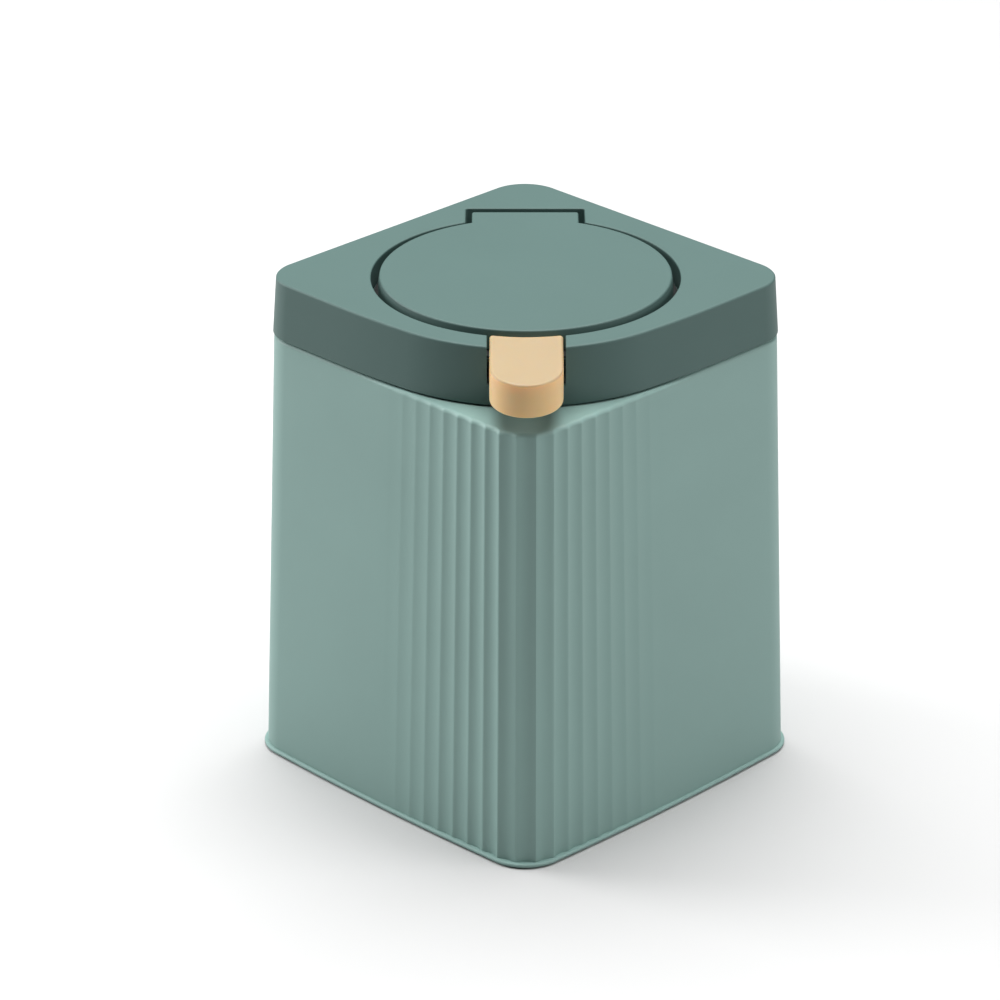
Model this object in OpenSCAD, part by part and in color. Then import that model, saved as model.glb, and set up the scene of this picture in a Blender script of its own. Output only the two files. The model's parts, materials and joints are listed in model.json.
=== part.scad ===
// Push top countertop bin: a fluted square body, a lid with a round sprung flap, and a push button
// that sticks out over the front corner. Millimetres, Z up, resting on Z = 0.
// The button is at the +X -Y corner and the flap's hinge is towards the -X +Y corner.
// Shapes on the line between those corners are drawn in a corner view: X to the right, the button
// at -Y and the hinge at +Y, and are then turned by 45 degrees.

/* [Body shell] */
// Width across the flat sides just under the lid
body_top_w = 151; // [146:0.2:156]
// How far the bottom of each side stands out past its top
body_flare = 5.7; // [3:0.1:9]
// Radius of the upright corners
body_corner_r = 16.8; // [13:0.2:20]
// How far the corners of the bottom are drawn in behind the middle of the sides
bottom_bow = 2.4; // [0:0.1:4]
// Wall thickness
shell_wall = 2.4; // [2:0.1:3.2]
// Height of the corner ledge above the underside of the base
ledge_h = 183.6; // [150:1:240]
// Chamfer round the top edge of the body
ledge_chamfer = 1.2; // [0.8:0.1:2]

/* [Flutes] */
// Flutes on each side of the one that lies on the front corner
side_flutes = 9; // [4:1:9]
// Width of a flute at the top of the body
flute_pitch = 7.5; // [5:0.1:7.8]
// Depth of the flute on the corner, from which the others fade out
flute_depth = 1.1; // [0.4:0.1:1.2]

/* [Neck and bucket shelf] */
// Height of the neck above the corner ledge
neck_h = 10.7; // [8:0.1:14]
// Wall of the neck
neck_wall = 2; // [1.6:0.1:2.4]
// Width of the shelf inside the neck that carries the bucket
shelf_w = 3.2; // [2.4:0.1:4]
// Depth of the shelf below the corner ledge
shelf_drop = 1.8; // [1.2:0.1:3]
// Thickness of the shelf and of the ledge
shelf_t = 2.2; // [1.8:0.1:3]

/* [Base] */
// How far the rim of the base plate stands out past the body
base_out = 1.3; // [0.3:0.1:4]
// Corner radius of the rim
base_corner_r = 17.7; // [14:0.2:21]
// Thickness of the rim
rim_t = 1.7; // [1.4:0.1:2.4]
// Height of the wall that locates the base inside the shell
spigot_h = 6; // [4:0.5:10]
// Thickness of that wall
spigot_wall = 2; // [1.4:0.1:2.4]
// Distance of the base screws in from the square corner of the body
base_screw_inset = 21.3; // [20:0.1:23]
// Diameter of the base screws
base_screw_d = 2.8; // [2.4:0.1:3.4]
// Length of the base screws under the head
base_screw_l = 14; // [10:0.5:18]

/* [Feet] */
// Diameter of a foot pad
pad_d = 12; // [8:0.5:16]
// Thickness of a foot pad
pad_t = 1.4; // [1.1:0.1:1.8]
// How far the pads stand below the base
pad_proud = 0.5; // [0.3:0.1:0.8]
// Distance of the pads in from the square corner of the body
pad_inset = 36.8; // [35:0.1:46]

/* [Inner bucket] */
// Wall thickness of the bucket
bucket_wall = 1.6; // [1.2:0.1:2.2]
// How far each side of the bucket leans in towards its bottom
bucket_draft = 6.1; // [3:0.1:10]
// Space between the bucket and the base
bucket_rise = 9; // [7:0.5:20]
// Thickness of the bucket's rim
bucket_rim_t = 2; // [1.6:0.1:2.4]
// Corner radius at the bottom of the bucket
bucket_corner_r = 12; // [8:0.5:16]

/* [Lid] */
// How far the bottom of the lid's skirt stands out past the top of the body
lid_out = 0.6; // [0:0.1:2]
// How far each side of the lid leans in over its height
lid_draft = 1.6; // [0.5:0.1:2.5]
// Height of the lid
lid_h = 23.7; // [23:0.1:26]
// Radius of the three small corners at the top of the lid
lid_corner_r = 16.3; // [12:0.1:19]
// How far the front of the lid lies inside a circle that would meet its sides
front_in = 1.6; // [0:0.1:2.5]
// Rounding of the lid's top edge
lid_edge_r = 0.9; // [0.5:0.1:1.5]
// Thickness of the lid's top
lid_top_t = 2.4; // [1.8:0.1:3]
// Thickness of the lid's skirt
skirt_wall = 2.2; // [1.8:0.1:2.6]
// Gap between the bottom of the skirt and the ledge
lid_gap = 0.7; // [0.4:0.1:1.2]
// Gap between the skirt and the neck
lid_fit = 0.5; // [0.3:0.1:0.7]
// Thickness of the liner ring under the lid
liner_t = 1.6; // [1.2:0.1:2]

/* [Round opening] */
// Width of the lid's flat top between the opening and the middle of a side
ring_w = 13.3; // [12.5:0.1:15.5]
// How far the middle of the opening lies towards the button
hole_shift = 0.9; // [0:0.1:2]
// Wall of the collar round the opening
collar_wall = 1.8; // [1.4:0.1:2.2]
// Width of the lip at the foot of the collar
lip_w = 4.7; // [4:0.1:6]
// Thickness of the lip
lip_t = 1.6; // [1.2:0.1:2]
// Height of the seal on the lip
seal_t = 2.2; // [1.4:0.1:2.6]

/* [Flap] */
// Gap all round the flap
flap_gap = 2.9; // [2.7:0.1:5]
// How far the flap stands above the lid
flap_proud = 1.1; // [0.4:0.1:1.6]
// Rounding of the flap's edge
flap_edge_r = 2; // [1:0.1:2]
// Thickness of the flap's top
flap_top_t = 2.2; // [2:0.1:2.6]
// Wall round the flap
flap_wall = 1.8; // [1.4:0.1:2.2]
// Thickness of the cover under the flap
flap_cover_t = 1.8; // [1.6:0.1:2]
// Width of the hinge tab
tab_w = 43.2; // [38:0.2:46]
// Gap at each side of the hinge tab
tab_gap = 2.6; // [1.5:0.1:3]
// Thickness of the hinge tab
tab_t = 2.5; // [2:0.1:2.8]

/* [Flap hinge] */
// Diameter of the hinge pin
pin_d = 3; // [2.5:0.1:3.2]
// Distance of the pin behind the edge of the opening
pin_setback = 0.2; // [0:0.1:1]
// Depth of the pin below the top of the flap
pin_depth = 5.9; // [5.8:0.1:6.4]
// Diameter of the knuckles round the pin
knuckle_d = 6.4; // [5.6:0.1:6.6]
// How far the tab reaches behind the pin
tab_reach = 3.5; // [2.5:0.1:4]
// Space behind the pin in the hinge pocket
pocket_back = 10; // [8.5:0.1:11]
// Wall of the hinge pocket
pocket_wall = 1.6; // [1.2:0.1:2]

/* [Push button] */
// Width of the button
button_w = 28.2; // [24:0.2:30]
// Length of the button from its back edge to its round front
button_l = 38.3; // [32:0.1:42]
// Thickness of the button
button_t = 13.2; // [12:0.1:14]
// Slope of the button's top towards the front, in degrees
button_slope = 5.7; // [3:0.1:7]
// Gap between the opening's circle and the back of the button
button_back_gap = 0.8; // [0.5:0.1:1.2]
// Gap at each side of the button
button_gap = 1; // [0.6:0.1:1.5]
// Wall thickness of the button
button_wall = 2.2; // [1.8:0.1:2.6]
// Height of the skirt left standing under the button
slot_sill_h = 8; // [6.5:0.1:8.2]

/* [Latch] */
// Diameter of the button's pin
button_pin_d = 2.5; // [2:0.1:3]
// Distance of the button's pin in front of the opening's edge
button_pin_reach = 4.4; // [4:0.1:5]
// Height of the button's pin above the ledge
button_pin_h = 6.9; // [6.5:0.1:7.4]
// How deep the nose of the latch reaches into the flap
latch_bite = 1; // [0.8:0.1:1.1]
// Width of the latch nose
nose_w = 11; // [8:0.5:12]
// Thickness of the latch nose
nose_t = 2.2; // [1.6:0.1:2.4]

/* [Springs] */
// Wire diameter of both springs
wire_d = 0.7; // [0.5:0.05:0.8]
// Distance from one turn of a spring to the next
spring_pitch = 1.2; // [1.15:0.05:1.3]
// Turns of the hinge spring
hinge_turns = 7; // [4:1:9]
// Turns of the button spring
button_turns = 6; // [4:1:7]

/* [Screws] */
// Diameter of the screws in the lid and the flap
small_screw_d = 2.2; // [1.8:0.1:2.4]
// Diameter of their heads
small_head_d = 4.4; // [3.8:0.1:4.6]
// Length of the lid screws under the head
lid_screw_l = 8; // [6:0.5:9]
// Length of the flap screws under the head
flap_screw_l = 3.6; // [3:0.1:4]
// Distance of the flap screws in from the edge of the flap
flap_screw_inset = 18.3; // [12:0.1:28]

/* [Clearances] */
// Gap between parts that rest on each other
seat_gap = 0.3; // [0.2:0.05:0.4]
// Gap at each side of a part that fits loosely in another
loose_fit = 0.4; // [0.3:0.05:0.5]
// Gap all round a pin that turns
pin_fit = 0.05; // [0.02:0.01:0.1]
// Gap all round a fixed pin or a screw
still_fit = 0.02; // [0.01:0.01:0.04]

/* [Hidden] */

body_green = "#8ea69c";
lid_green = "#5c7c75";
beech = "#e3c596";
dark_plastic = "#39423f";
steel = "#b9bcbe";
soft_grey = "#5a5f5e";
bucket_grey = "#a9b4af";

$fn = 96;
over = 1;
fuse = 0.2;

// Heights of the stack, from the floor up
base_z = pad_proud;
shell_z = base_z + rim_t;
ledge_z = base_z + ledge_h;
neck_top = ledge_z + neck_h;
shelf_z = ledge_z - shelf_drop;
lid_z = ledge_z + lid_gap;
lid_top = lid_z + lid_h;
liner_z = neck_top + seat_gap;
lip_z = liner_z + liner_t + seat_gap;
seal_z = lip_z + lip_t;
flap_z = seal_z + seal_t + seat_gap;
flap_top = lid_top + flap_proud;

// Widths that follow from each other
body_bottom_w = body_top_w + 2 * body_flare;
base_w = body_bottom_w + 2 * base_out;
base_screw_reach = body_bottom_w / sqrt(2) - base_screw_inset;
pad_reach = body_bottom_w / sqrt(2) - pad_inset;
lid_bottom_w = body_top_w + 2 * lid_out;
lid_top_w = lid_bottom_w - 2 * lid_draft;
front_shift = hole_shift / sqrt(2);
lid_corner_c = lid_top_w / 2 - lid_corner_r;
function lid_half(z) = lid_bottom_w / 2 + (lid_top_w - lid_bottom_w) / 2 * (z - lid_z) / lid_h;
neck_half = lid_half(neck_top) - skirt_wall - lid_fit;
neck_in = neck_half - neck_wall;
shelf_in = neck_in - shelf_w;
liner_half = lid_half(liner_z + liner_t) - skirt_wall - lid_fit;

// The round opening and what lies on it
hole_r = lid_top_w / 2 - ring_w;
mouth_r = hole_r - lip_w;
flap_r = hole_r - flap_gap;
flap_screw_reach = flap_r - flap_screw_inset;
flap_in = flap_r - flap_wall;

// Flap hinge, in the corner view
hinge_y = -hole_shift + hole_r + pin_setback;
hinge_z = flap_top - pin_depth;
pocket_half = tab_w / 2 + tab_gap;
pocket_y = hinge_y + pocket_back;
knuckle_under = 1.4;
knuckle_side = 0.6;
coil_side = 2;
pocket_z = hinge_z - knuckle_d / 2 - knuckle_under;
coil_room = spring_pitch * (hinge_turns + 1) + 2 * wire_d;
knuckle_x = coil_room / 2 + coil_side;
knuckle_l = tab_w / 2 - knuckle_x - knuckle_side;

// Button, in the corner view
button_back_r = hole_r + button_back_gap;
button_back_y = -hole_shift - button_back_r;
button_tip_y = button_back_y - button_l;
button_half = button_w / 2;
slot_half = button_half + button_gap;
slot_z = lid_z + slot_sill_h;
pivot_y = -hole_shift - hole_r - button_pin_reach;
pivot_z = ledge_z + button_pin_h;
ear_gap = 0.3;
ear_in = slot_half + ear_gap;
ear_t = 3.6;
ear_out = ear_in + ear_t;
ear_r = 2.9;
nose_rise = 1.8;
nose_z = flap_z + nose_rise;
button_coil = spring_pitch * button_turns + wire_d;

// Screw places, in the corner view: three in the lid's small corners and two beside the button
corner_screw_reach = lid_corner_c * sqrt(2) + 1.7;
front_screw_reach = hole_r + 4.6;
front_screw_turn = 40;
lid_screw_spots = [
    [0, corner_screw_reach],
    [-corner_screw_reach, 0],
    [corner_screw_reach, 0],
    for (side = [-1, 1])
        front_screw_reach * [side * sin(front_screw_turn), -cos(front_screw_turn)] - [0, hole_shift]
];
flap_screw_spots = [
    for (a = [45:90:315])
        flap_screw_reach * [cos(a), sin(a)] - [0, hole_shift]
];
corner_turns = [0, 90, 180, 270];

// Screw heads, the bosses they hold in, and the space left at the end of a screw
base_head_d = base_screw_d * 2;
base_head_h = 2;
base_boss_r = 4.4;
base_boss_h = 3.6;
base_boss_z = shell_z + base_boss_h;
boss_r = 3.2;
small_head_h = 1.2;
screw_end = 0.3;

// Turns the corner view into the part's own frame
module corner_view() {
    rotate([0, 0, 45]) children();
}

// Point list joined ring by ring into a closed solid; ends are capped or run back to the start
module loft(rings, ring_closed = false) {
    n = len(rings[0]);
    count = len(rings);
    points = [for (ring = rings) each ring];
    last = ring_closed ? count - 1 : count - 2;
    sides = [
        for (k = [0:last], i = [0:n - 1])
            let (a = k * n + i, b = k * n + (i + 1) % n, up = ((k + 1) % count) * n)
                each [[a, up + i, up + (i + 1) % n], [a, up + (i + 1) % n, b]]
    ];
    caps = ring_closed ? [] : [
        [for (i = [0:n - 1]) i],
        [for (i = [n - 1:-1:0]) (count - 1) * n + i]
    ];
    polyhedron(points = points, faces = concat(sides, caps), convexity = 10);
}

function at_height(ring, z) = [for (p = ring) [p[0], p[1], z]];
function turned(p, a) = [p[0] * cos(a) - p[1] * sin(a), p[0] * sin(a) + p[1] * cos(a)];
function arc(cx, cy, r, from, to, steps) =
    [for (i = [0:steps]) let (a = from + (to - from) * i / steps) [cx + r * cos(a), cy + r * sin(a)]];

// Lid outline: three corners of radius r, and a front corner that runs round the opening.
// An easy bend of a few degrees leads from each side into the front.
corner_steps = 7;
front_steps = 23;
front_turn = 5.6;
bend_steps = 3;
function front_bend(half) =
    let (
        big = half - front_shift,
        small = big - front_in,
        bend = [front_shift + (small - big * cos(front_turn)) / sin(front_turn), -half],
        end = [front_shift, -front_shift] + small * [sin(front_turn), -cos(front_turn)],
        start = bend - [norm(end - bend), 0]
    )
        [
            for (i = [0:bend_steps - 1])
                let (t = i / bend_steps)
                    pow(1 - t, 2) * start + 2 * t * (1 - t) * bend + t * t * end
        ];
function lid_outline(half, r) =
    let (c = half - r, small = half - front_shift - front_in, bend = front_bend(half))
        concat(
            bend,
            arc(front_shift, -front_shift, small, -90 + front_turn, -front_turn, front_steps),
            [for (i = [bend_steps - 1:-1:0]) [-bend[i][1], -bend[i][0]]],
            arc(c, c, r, 0, 90, corner_steps),
            arc(-c, c, r, 90, 180, corner_steps),
            arc(-c, -c, r, 180, 270, corner_steps)
        );
function lid_ring(half, z) = at_height(lid_outline(half, half - lid_corner_c), z);

// Body outline: bowed sides and four round corners, with flutes about the front corner.
// It is drawn about the +X +Y corner, from its middle along both sides, and then turned.
steps_per_flute = 6;
flute_span = (side_flutes + 0.5) * steps_per_flute;

// Angle at which a bowed side runs into its corner
function bow_angle(half, r, bow) = atan(2 * bow * (half - r) / (half * half));
// Centre of the corner arc, from the place where it meets the bowed side
function corner_centre(half, r, bow) =
    let (a = bow_angle(half, r, bow), y = half - r - bow + r * sin(a))
        half - bow * pow(y / half, 2) - r * cos(a);

// A point at distance s along the outline from the corner's middle, and the way outwards there
function outline_spot(s, half, r, bow) =
    let (
        a0 = bow_angle(half, r, bow),
        c = corner_centre(half, r, bow),
        arc_half = r * (45 - a0) * PI / 180,
        a = 45 + s / r * 180 / PI,
        x = c + r * sin(a0) - (s - arc_half),
        lean = atan(2 * bow * x / (half * half))
    )
        s <= arc_half
            ? [c + r * cos(a), c + r * sin(a), a]
            : [x, half - bow * pow(x / half, 2), 90 - lean];

function flute_dip(s, pitch, depth) =
    let (k = round(s / pitch), u = s / pitch - k, share = max(0, 1 - k / (side_flutes + 0.5)))
        depth * share * (1 - 4 * u * u);

function half_outline(half, r, bow, pitch, depth) =
    let (
        a0 = bow_angle(half, r, bow),
        c = corner_centre(half, r, bow),
        edge = c + r * sin(a0),
        last_x = outline_spot(pitch * (side_flutes + 0.5), half, r, bow)[0]
    )
        concat(
            [
                for (j = [0:flute_span])
                    let (
                        s = j * pitch / steps_per_flute,
                        spot = outline_spot(s, half, r, bow),
                        dip = flute_dip(s, pitch, depth)
                    )
                        [spot[0] - dip * cos(spot[2]), spot[1] - dip * sin(spot[2])]
            ],
            [
                for (i = [1:3])
                    let (x = last_x + (-edge - last_x) * i / 4)
                        [x, half - bow * pow(x / half, 2)]
            ],
            arc(-c, c, r, 90 + a0, 180 - a0, corner_steps),
            [
                for (i = [1:5])
                    let (y = edge - 2 * edge * i / 6)
                        [-half + bow * pow(y / half, 2), y]
            ],
            arc(-c, -c, r, 180 + a0, 225, 4)
        );
function body_outline(half, r, bow, pitch = flute_pitch, depth = 0) =
    let (right = half_outline(half, r, bow, pitch, depth), n = len(right))
        [
            for (p = right) turned(p, -90),
            for (i = [n - 2:-1:1]) turned([right[i][1], right[i][0]], -90)
        ];

// Distance from the middle to an outline without hollows, in a given direction
function reach(outline, dir) =
    min([
        for (i = [0:len(outline) - 1])
            let (
                a = outline[i],
                b = outline[(i + 1) % len(outline)],
                outwards = [b[1] - a[1], a[0] - b[0]],
                way = outwards * dir
            )
                if (way > 0) outwards * a / way
    ]);
// The lid outline with one point for each point of another outline, seen from the middle
function matched(ring, half) =
    let (outline = lid_outline(half, half - lid_corner_c))
        [for (p = ring) let (dir = [p[0], p[1]] / norm([p[0], p[1]])) dir * reach(outline, dir)];

module body_shell_wall() {
    top = body_top_w / 2;
    bottom = body_bottom_w / 2;
    grow = body_bottom_w / body_top_w;
    inset = shell_wall;
    top_ring = body_outline(top, body_corner_r, 0, flute_pitch, flute_depth);
    chamfer_ring = body_outline(top - ledge_chamfer, body_corner_r - ledge_chamfer, 0, flute_pitch);
    plain = body_outline(top, body_corner_r, 0, flute_pitch);
    foot_ring = body_outline(bottom, body_corner_r, bottom_bow, flute_pitch * grow, flute_depth);
    loft(
        [
            at_height(foot_ring, shell_z),
            at_height(top_ring, ledge_z - ledge_chamfer),
            at_height(chamfer_ring, ledge_z),
            at_height(matched(plain, neck_half), ledge_z),
            at_height(matched(plain, neck_half), neck_top),
            at_height(matched(plain, neck_in), neck_top),
            at_height(matched(plain, neck_in), shelf_z),
            at_height(matched(plain, shelf_in), shelf_z),
            at_height(matched(plain, shelf_in), shelf_z - shelf_t),
            at_height(matched(plain, neck_half - fuse), shelf_z - shelf_t),
            at_height(matched(plain, neck_half - fuse), ledge_z - shelf_t),
            at_height(body_outline(top - inset, body_corner_r - inset, 0, flute_pitch), ledge_z - shelf_t),
            at_height(
                body_outline(bottom - inset, body_corner_r - inset, bottom_bow, flute_pitch * grow),
                shell_z
            )
        ],
        ring_closed = true
    );
}

// The neck is open at the front, above a low sill, for the latch and the ears it turns in
module body_shell() color(body_green) {
    boss_h = base_screw_l + 2;
    rib_t = 2;
    rib_in = 2;
    rib_out = 10;
    rib_z = shell_z + spigot_h + seat_gap;
    sill = 1.2;
    room = 2;
    difference() {
        union() {
            body_shell_wall();
            for (turn = corner_turns) rotate([0, 0, turn]) corner_view() {
                translate([0, -base_screw_reach, base_boss_z])
                    cylinder(r = base_boss_r, h = boss_h);
                translate([-rib_t / 2, -base_screw_reach - rib_out, rib_z])
                    cube([rib_t, rib_out - rib_in, base_boss_z + boss_h - rib_z]);
            }
        }
        for (turn = corner_turns) rotate([0, 0, turn]) corner_view()
            translate([0, -base_screw_reach, base_boss_z - over])
                cylinder(d = base_screw_d + 2 * still_fit, h = base_screw_l + over);
        corner_view()
            translate([-ear_out - room, -body_top_w, ledge_z + sill])
                cube([2 * (ear_out + room), body_top_w - mouth_r, neck_h + over]);
    }
}

module base_rim() {
    half = base_w / 2;
    soft = rim_t / 2;
    loft([
        for (a = [-75, -40, 0, 40, 75])
            at_height(
                body_outline(
                    half - soft * (1 - cos(a)),
                    base_corner_r - soft * (1 - cos(a)),
                    bottom_bow
                ),
                base_z + soft + soft * (a == -75 ? -1 : a == 75 ? 1 : sin(a))
            )
    ]);
}

module base_plate() color(body_green) {
    inner = body_bottom_w / 2 - shell_wall - loose_fit;
    inner_r = body_corner_r - shell_wall - loose_fit;
    boss_extra = 0.6;
    pad_seat_wall = 2;
    pad_seat_h = 1;
    difference() {
        union() {
            base_rim();
            difference() {
                translate([0, 0, shell_z - fuse])
                    linear_extrude(spigot_h + fuse)
                        polygon(body_outline(inner, inner_r, bottom_bow));
                translate([0, 0, shell_z])
                    linear_extrude(spigot_h + over)
                        polygon(body_outline(inner - spigot_wall, inner_r - spigot_wall, bottom_bow));
            }
            for (turn = corner_turns) rotate([0, 0, turn]) corner_view() {
                translate([0, -base_screw_reach, shell_z - fuse])
                    cylinder(r = base_boss_r + boss_extra, h = base_boss_h + fuse);
                translate([0, -pad_reach, shell_z - fuse])
                    cylinder(d = pad_d + 2 * pad_seat_wall, h = pad_seat_h + fuse);
            }
        }
        for (turn = corner_turns) rotate([0, 0, turn]) corner_view() {
            translate([0, -base_screw_reach, base_z - over])
                cylinder(d = base_screw_d + 4 * pin_fit, h = base_boss_h + rim_t + 2 * over);
            translate([0, -base_screw_reach, base_z - over])
                cylinder(d = base_head_d + 2 * seat_gap, h = base_head_h + seat_gap + over);
            translate([0, -pad_reach, base_z - over])
                cylinder(d = pad_d + loose_fit, h = pad_t - pad_proud + over);
        }
    }
}

// A screw with a pan head, pointing up, with the underside of its head at z = 0
module screw(d, l, head_d, head_h) {
    tip = d / 2;
    translate([0, 0, -head_h]) cylinder(d = head_d, h = head_h);
    translate([0, 0, -fuse]) cylinder(d = d, h = l - tip + fuse);
    translate([0, 0, l - tip]) cylinder(d1 = d, d2 = d / 3, h = tip);
}

module base_screws() color(steel) {
    for (turn = corner_turns) rotate([0, 0, turn]) corner_view()
        translate([0, -base_screw_reach, base_z + base_head_h + seat_gap])
            screw(base_screw_d, base_screw_l, base_head_d, base_head_h);
}

module foot_pad(turn) color(soft_grey) {
    rotate([0, 0, turn]) corner_view()
        translate([0, -pad_reach, 0]) cylinder(d = pad_d, h = pad_t);
}
module foot_pad_front() { foot_pad(0); }
module foot_pad_back() { foot_pad(180); }
module foot_pad_left() { foot_pad(270); }
module foot_pad_right() { foot_pad(90); }

module inner_bucket() color(bucket_grey) {
    floor_z = shell_z + bucket_rise;
    rim_z = shelf_z + seat_gap;
    rim_half = neck_in - loose_fit;
    wall_half = shelf_in - loose_fit;
    low = wall_half - bucket_draft;
    soft = 3;
    mid = soft * (1 - sin(45));
    loft([
        at_height(lid_outline(low - soft, bucket_corner_r - soft), floor_z),
        at_height(lid_outline(low - mid, bucket_corner_r - mid), floor_z + mid),
        at_height(lid_outline(low, bucket_corner_r), floor_z + soft),
        lid_ring(wall_half, rim_z),
        lid_ring(rim_half, rim_z),
        lid_ring(rim_half, rim_z + bucket_rim_t),
        lid_ring(wall_half - bucket_wall, rim_z + bucket_rim_t),
        at_height(lid_outline(low - bucket_wall, bucket_corner_r - bucket_wall), floor_z + soft),
        at_height(lid_outline(low - soft, bucket_corner_r - soft), floor_z + bucket_wall)
    ]);
}

// Everything of the lid that is inside its skin: collar, lip, hinge pocket, ears and screw posts
module lid_inside() {
    ceiling = lid_top - lid_top_t;
    pocket_front = hinge_y - 8;
    translate([0, -hole_shift, lip_z]) cylinder(r = hole_r + collar_wall, h = lid_top - lip_z - fuse);
    translate([-pocket_half - pocket_wall, pocket_front, pocket_z - pocket_wall])
        cube([
            2 * (pocket_half + pocket_wall),
            pocket_y + pocket_wall - pocket_front,
            lid_top - fuse - pocket_z + pocket_wall
        ]);
    for (side = [-1, 1]) {
        ear_x = side > 0 ? ear_in : -ear_out;
        translate([ear_x, pivot_y, pivot_z]) rotate([0, 90, 0]) cylinder(r = ear_r, h = ear_t);
        translate([ear_x, pivot_y - ear_r, pivot_z]) cube([ear_t, 2 * ear_r, ceiling + fuse - pivot_z]);
    }
    for (spot = lid_screw_spots)
        translate([spot[0], spot[1], liner_z + liner_t])
            cylinder(r = boss_r, h = ceiling + fuse - liner_z - liner_t);
}

// What is cut out of the lid: opening, hinge pocket, button slot, and the holes of pins and screws
module lid_cuts() {
    pocket_front = hinge_y - 12;
    translate([0, -hole_shift, lip_z + lip_t]) cylinder(r = hole_r, h = lid_top);
    translate([0, -hole_shift, lip_z - over]) cylinder(r = mouth_r, h = lid_top);
    difference() {
        translate([-pocket_half, pocket_front, pocket_z])
            cube([2 * pocket_half, pocket_y - pocket_front, lid_top]);
        translate([0, -hole_shift, 0]) cylinder(r = hole_r - over, h = lid_top + 2 * over);
    }
    difference() {
        translate([-slot_half, -lid_bottom_w, slot_z])
            cube([2 * slot_half, lid_bottom_w, lid_top]);
        translate([0, -hole_shift, 0]) cylinder(r = hole_r - fuse, h = 2 * lid_top);
    }
    translate([-pocket_half - pocket_wall - over, hinge_y, hinge_z])
        rotate([0, 90, 0]) cylinder(d = pin_d + 2 * still_fit, h = 2 * (pocket_half + pocket_wall + over));
    translate([-ear_out - over, pivot_y, pivot_z])
        rotate([0, 90, 0]) cylinder(d = button_pin_d + 2 * still_fit, h = 2 * (ear_out + over));
    for (spot = lid_screw_spots)
        translate([spot[0], spot[1], liner_z])
            cylinder(d = small_screw_d + 2 * still_fit, h = lid_screw_l);
}

module lid_frame() color(lid_green) {
    edge = lid_edge_r;
    difference() {
        union() {
            difference() {
                loft([
                    lid_ring(lid_half(lid_z), lid_z),
                    for (a = [0, 30, 60, 90])
                        let (z = lid_top - edge + edge * sin(a))
                            lid_ring(lid_half(lid_top - edge) - edge * (1 - cos(a)), z)
                ]);
                loft([
                    lid_ring(lid_half(lid_z - over) - skirt_wall, lid_z - over),
                    lid_ring(lid_half(lid_top - lid_top_t) - skirt_wall, lid_top - lid_top_t)
                ]);
            }
            corner_view() lid_inside();
        }
        corner_view() lid_cuts();
    }
}

module lid_liner() color(dark_plastic) {
    front_ring = 0.8;
    difference() {
        translate([0, 0, liner_z])
            linear_extrude(liner_t)
                polygon(lid_outline(liner_half, liner_half - lid_corner_c));
        corner_view() {
            translate([0, -hole_shift, liner_z - over]) cylinder(r = mouth_r, h = liner_t + 2 * over);
            difference() {
                translate([-ear_out - loose_fit, -lid_bottom_w, liner_z - over])
                    cube([2 * (ear_out + loose_fit), lid_bottom_w, liner_t + 2 * over]);
                translate([0, -hole_shift, 0]) cylinder(r = hole_r - front_ring, h = lid_top);
            }
            for (spot = lid_screw_spots)
                translate([spot[0], spot[1], liner_z - over])
                    cylinder(d = small_screw_d + 4 * pin_fit, h = liner_t + 2 * over);
        }
    }
}

module lid_screws() color(steel) {
    corner_view() for (spot = lid_screw_spots)
        translate([spot[0], spot[1], liner_z])
            screw(small_screw_d, lid_screw_l - screw_end, small_head_d, small_head_h);
}

module flap_seal() color(soft_grey) {
    inner_r = mouth_r + 0.4;
    outer_r = hole_r - 0.6;
    crest_r = flap_r - flap_wall / 2;
    crest_w = 0.5;
    corner_view() translate([0, -hole_shift, seal_z]) rotate_extrude() polygon([
        [inner_r, 0],
        [outer_r, 0],
        [outer_r, seal_t * 0.4],
        [crest_r + crest_w, seal_t],
        [crest_r - crest_w, seal_t],
        [inner_r, seal_t * 0.6]
    ]);
}

module hinge_pin() color(steel) {
    l = 2 * (pocket_half + pocket_wall);
    corner_view() translate([-l / 2, hinge_y, hinge_z]) rotate([0, 90, 0]) cylinder(d = pin_d, h = l);
}

module button_pin() color(steel) {
    corner_view() translate([-ear_out, pivot_y, pivot_z])
        rotate([0, 90, 0]) cylinder(d = button_pin_d, h = 2 * ear_out);
}

// Wire along a path: six sided rings, each square to the path, with their flats towards the X axis
function unit(v) = v / norm(v);
function path_way(path, i) = unit(path[min(i + 1, len(path) - 1)] - path[max(i - 1, 0)]);
function wire_ring(path, i, r) =
    let (t = path_way(path, i), b = unit([1, 0, 0] - t[0] * t), n = cross(t, b))
        [for (k = [0:5]) path[i] + r * (cos(60 * k) * b + sin(60 * k) * n)];
module wire(path) {
    loft([for (i = [len(path) - 1:-1:0]) wire_ring(path, i, wire_d / 2)]);
}
rings_per_turn = 8;
// A coil about the X axis: over the top towards -Y, starting and ending at the angles given
function coil(turns, r, from, to) =
    let (steps = rings_per_turn * turns + round((to - from) / 360 * rings_per_turn))
        [
            for (i = [0:steps])
                let (a = from + (turns * 360 + to - from) * i / steps)
                    [spring_pitch * (i / rings_per_turn - turns / 2), r * cos(a), r * sin(a)]
        ];
function least_gap(path) =
    min([
        for (i = [0:len(path) - 1], j = [i + rings_per_turn / 2:1:len(path) - 1])
            norm(path[i] - path[j])
    ]) - wire_d;

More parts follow.
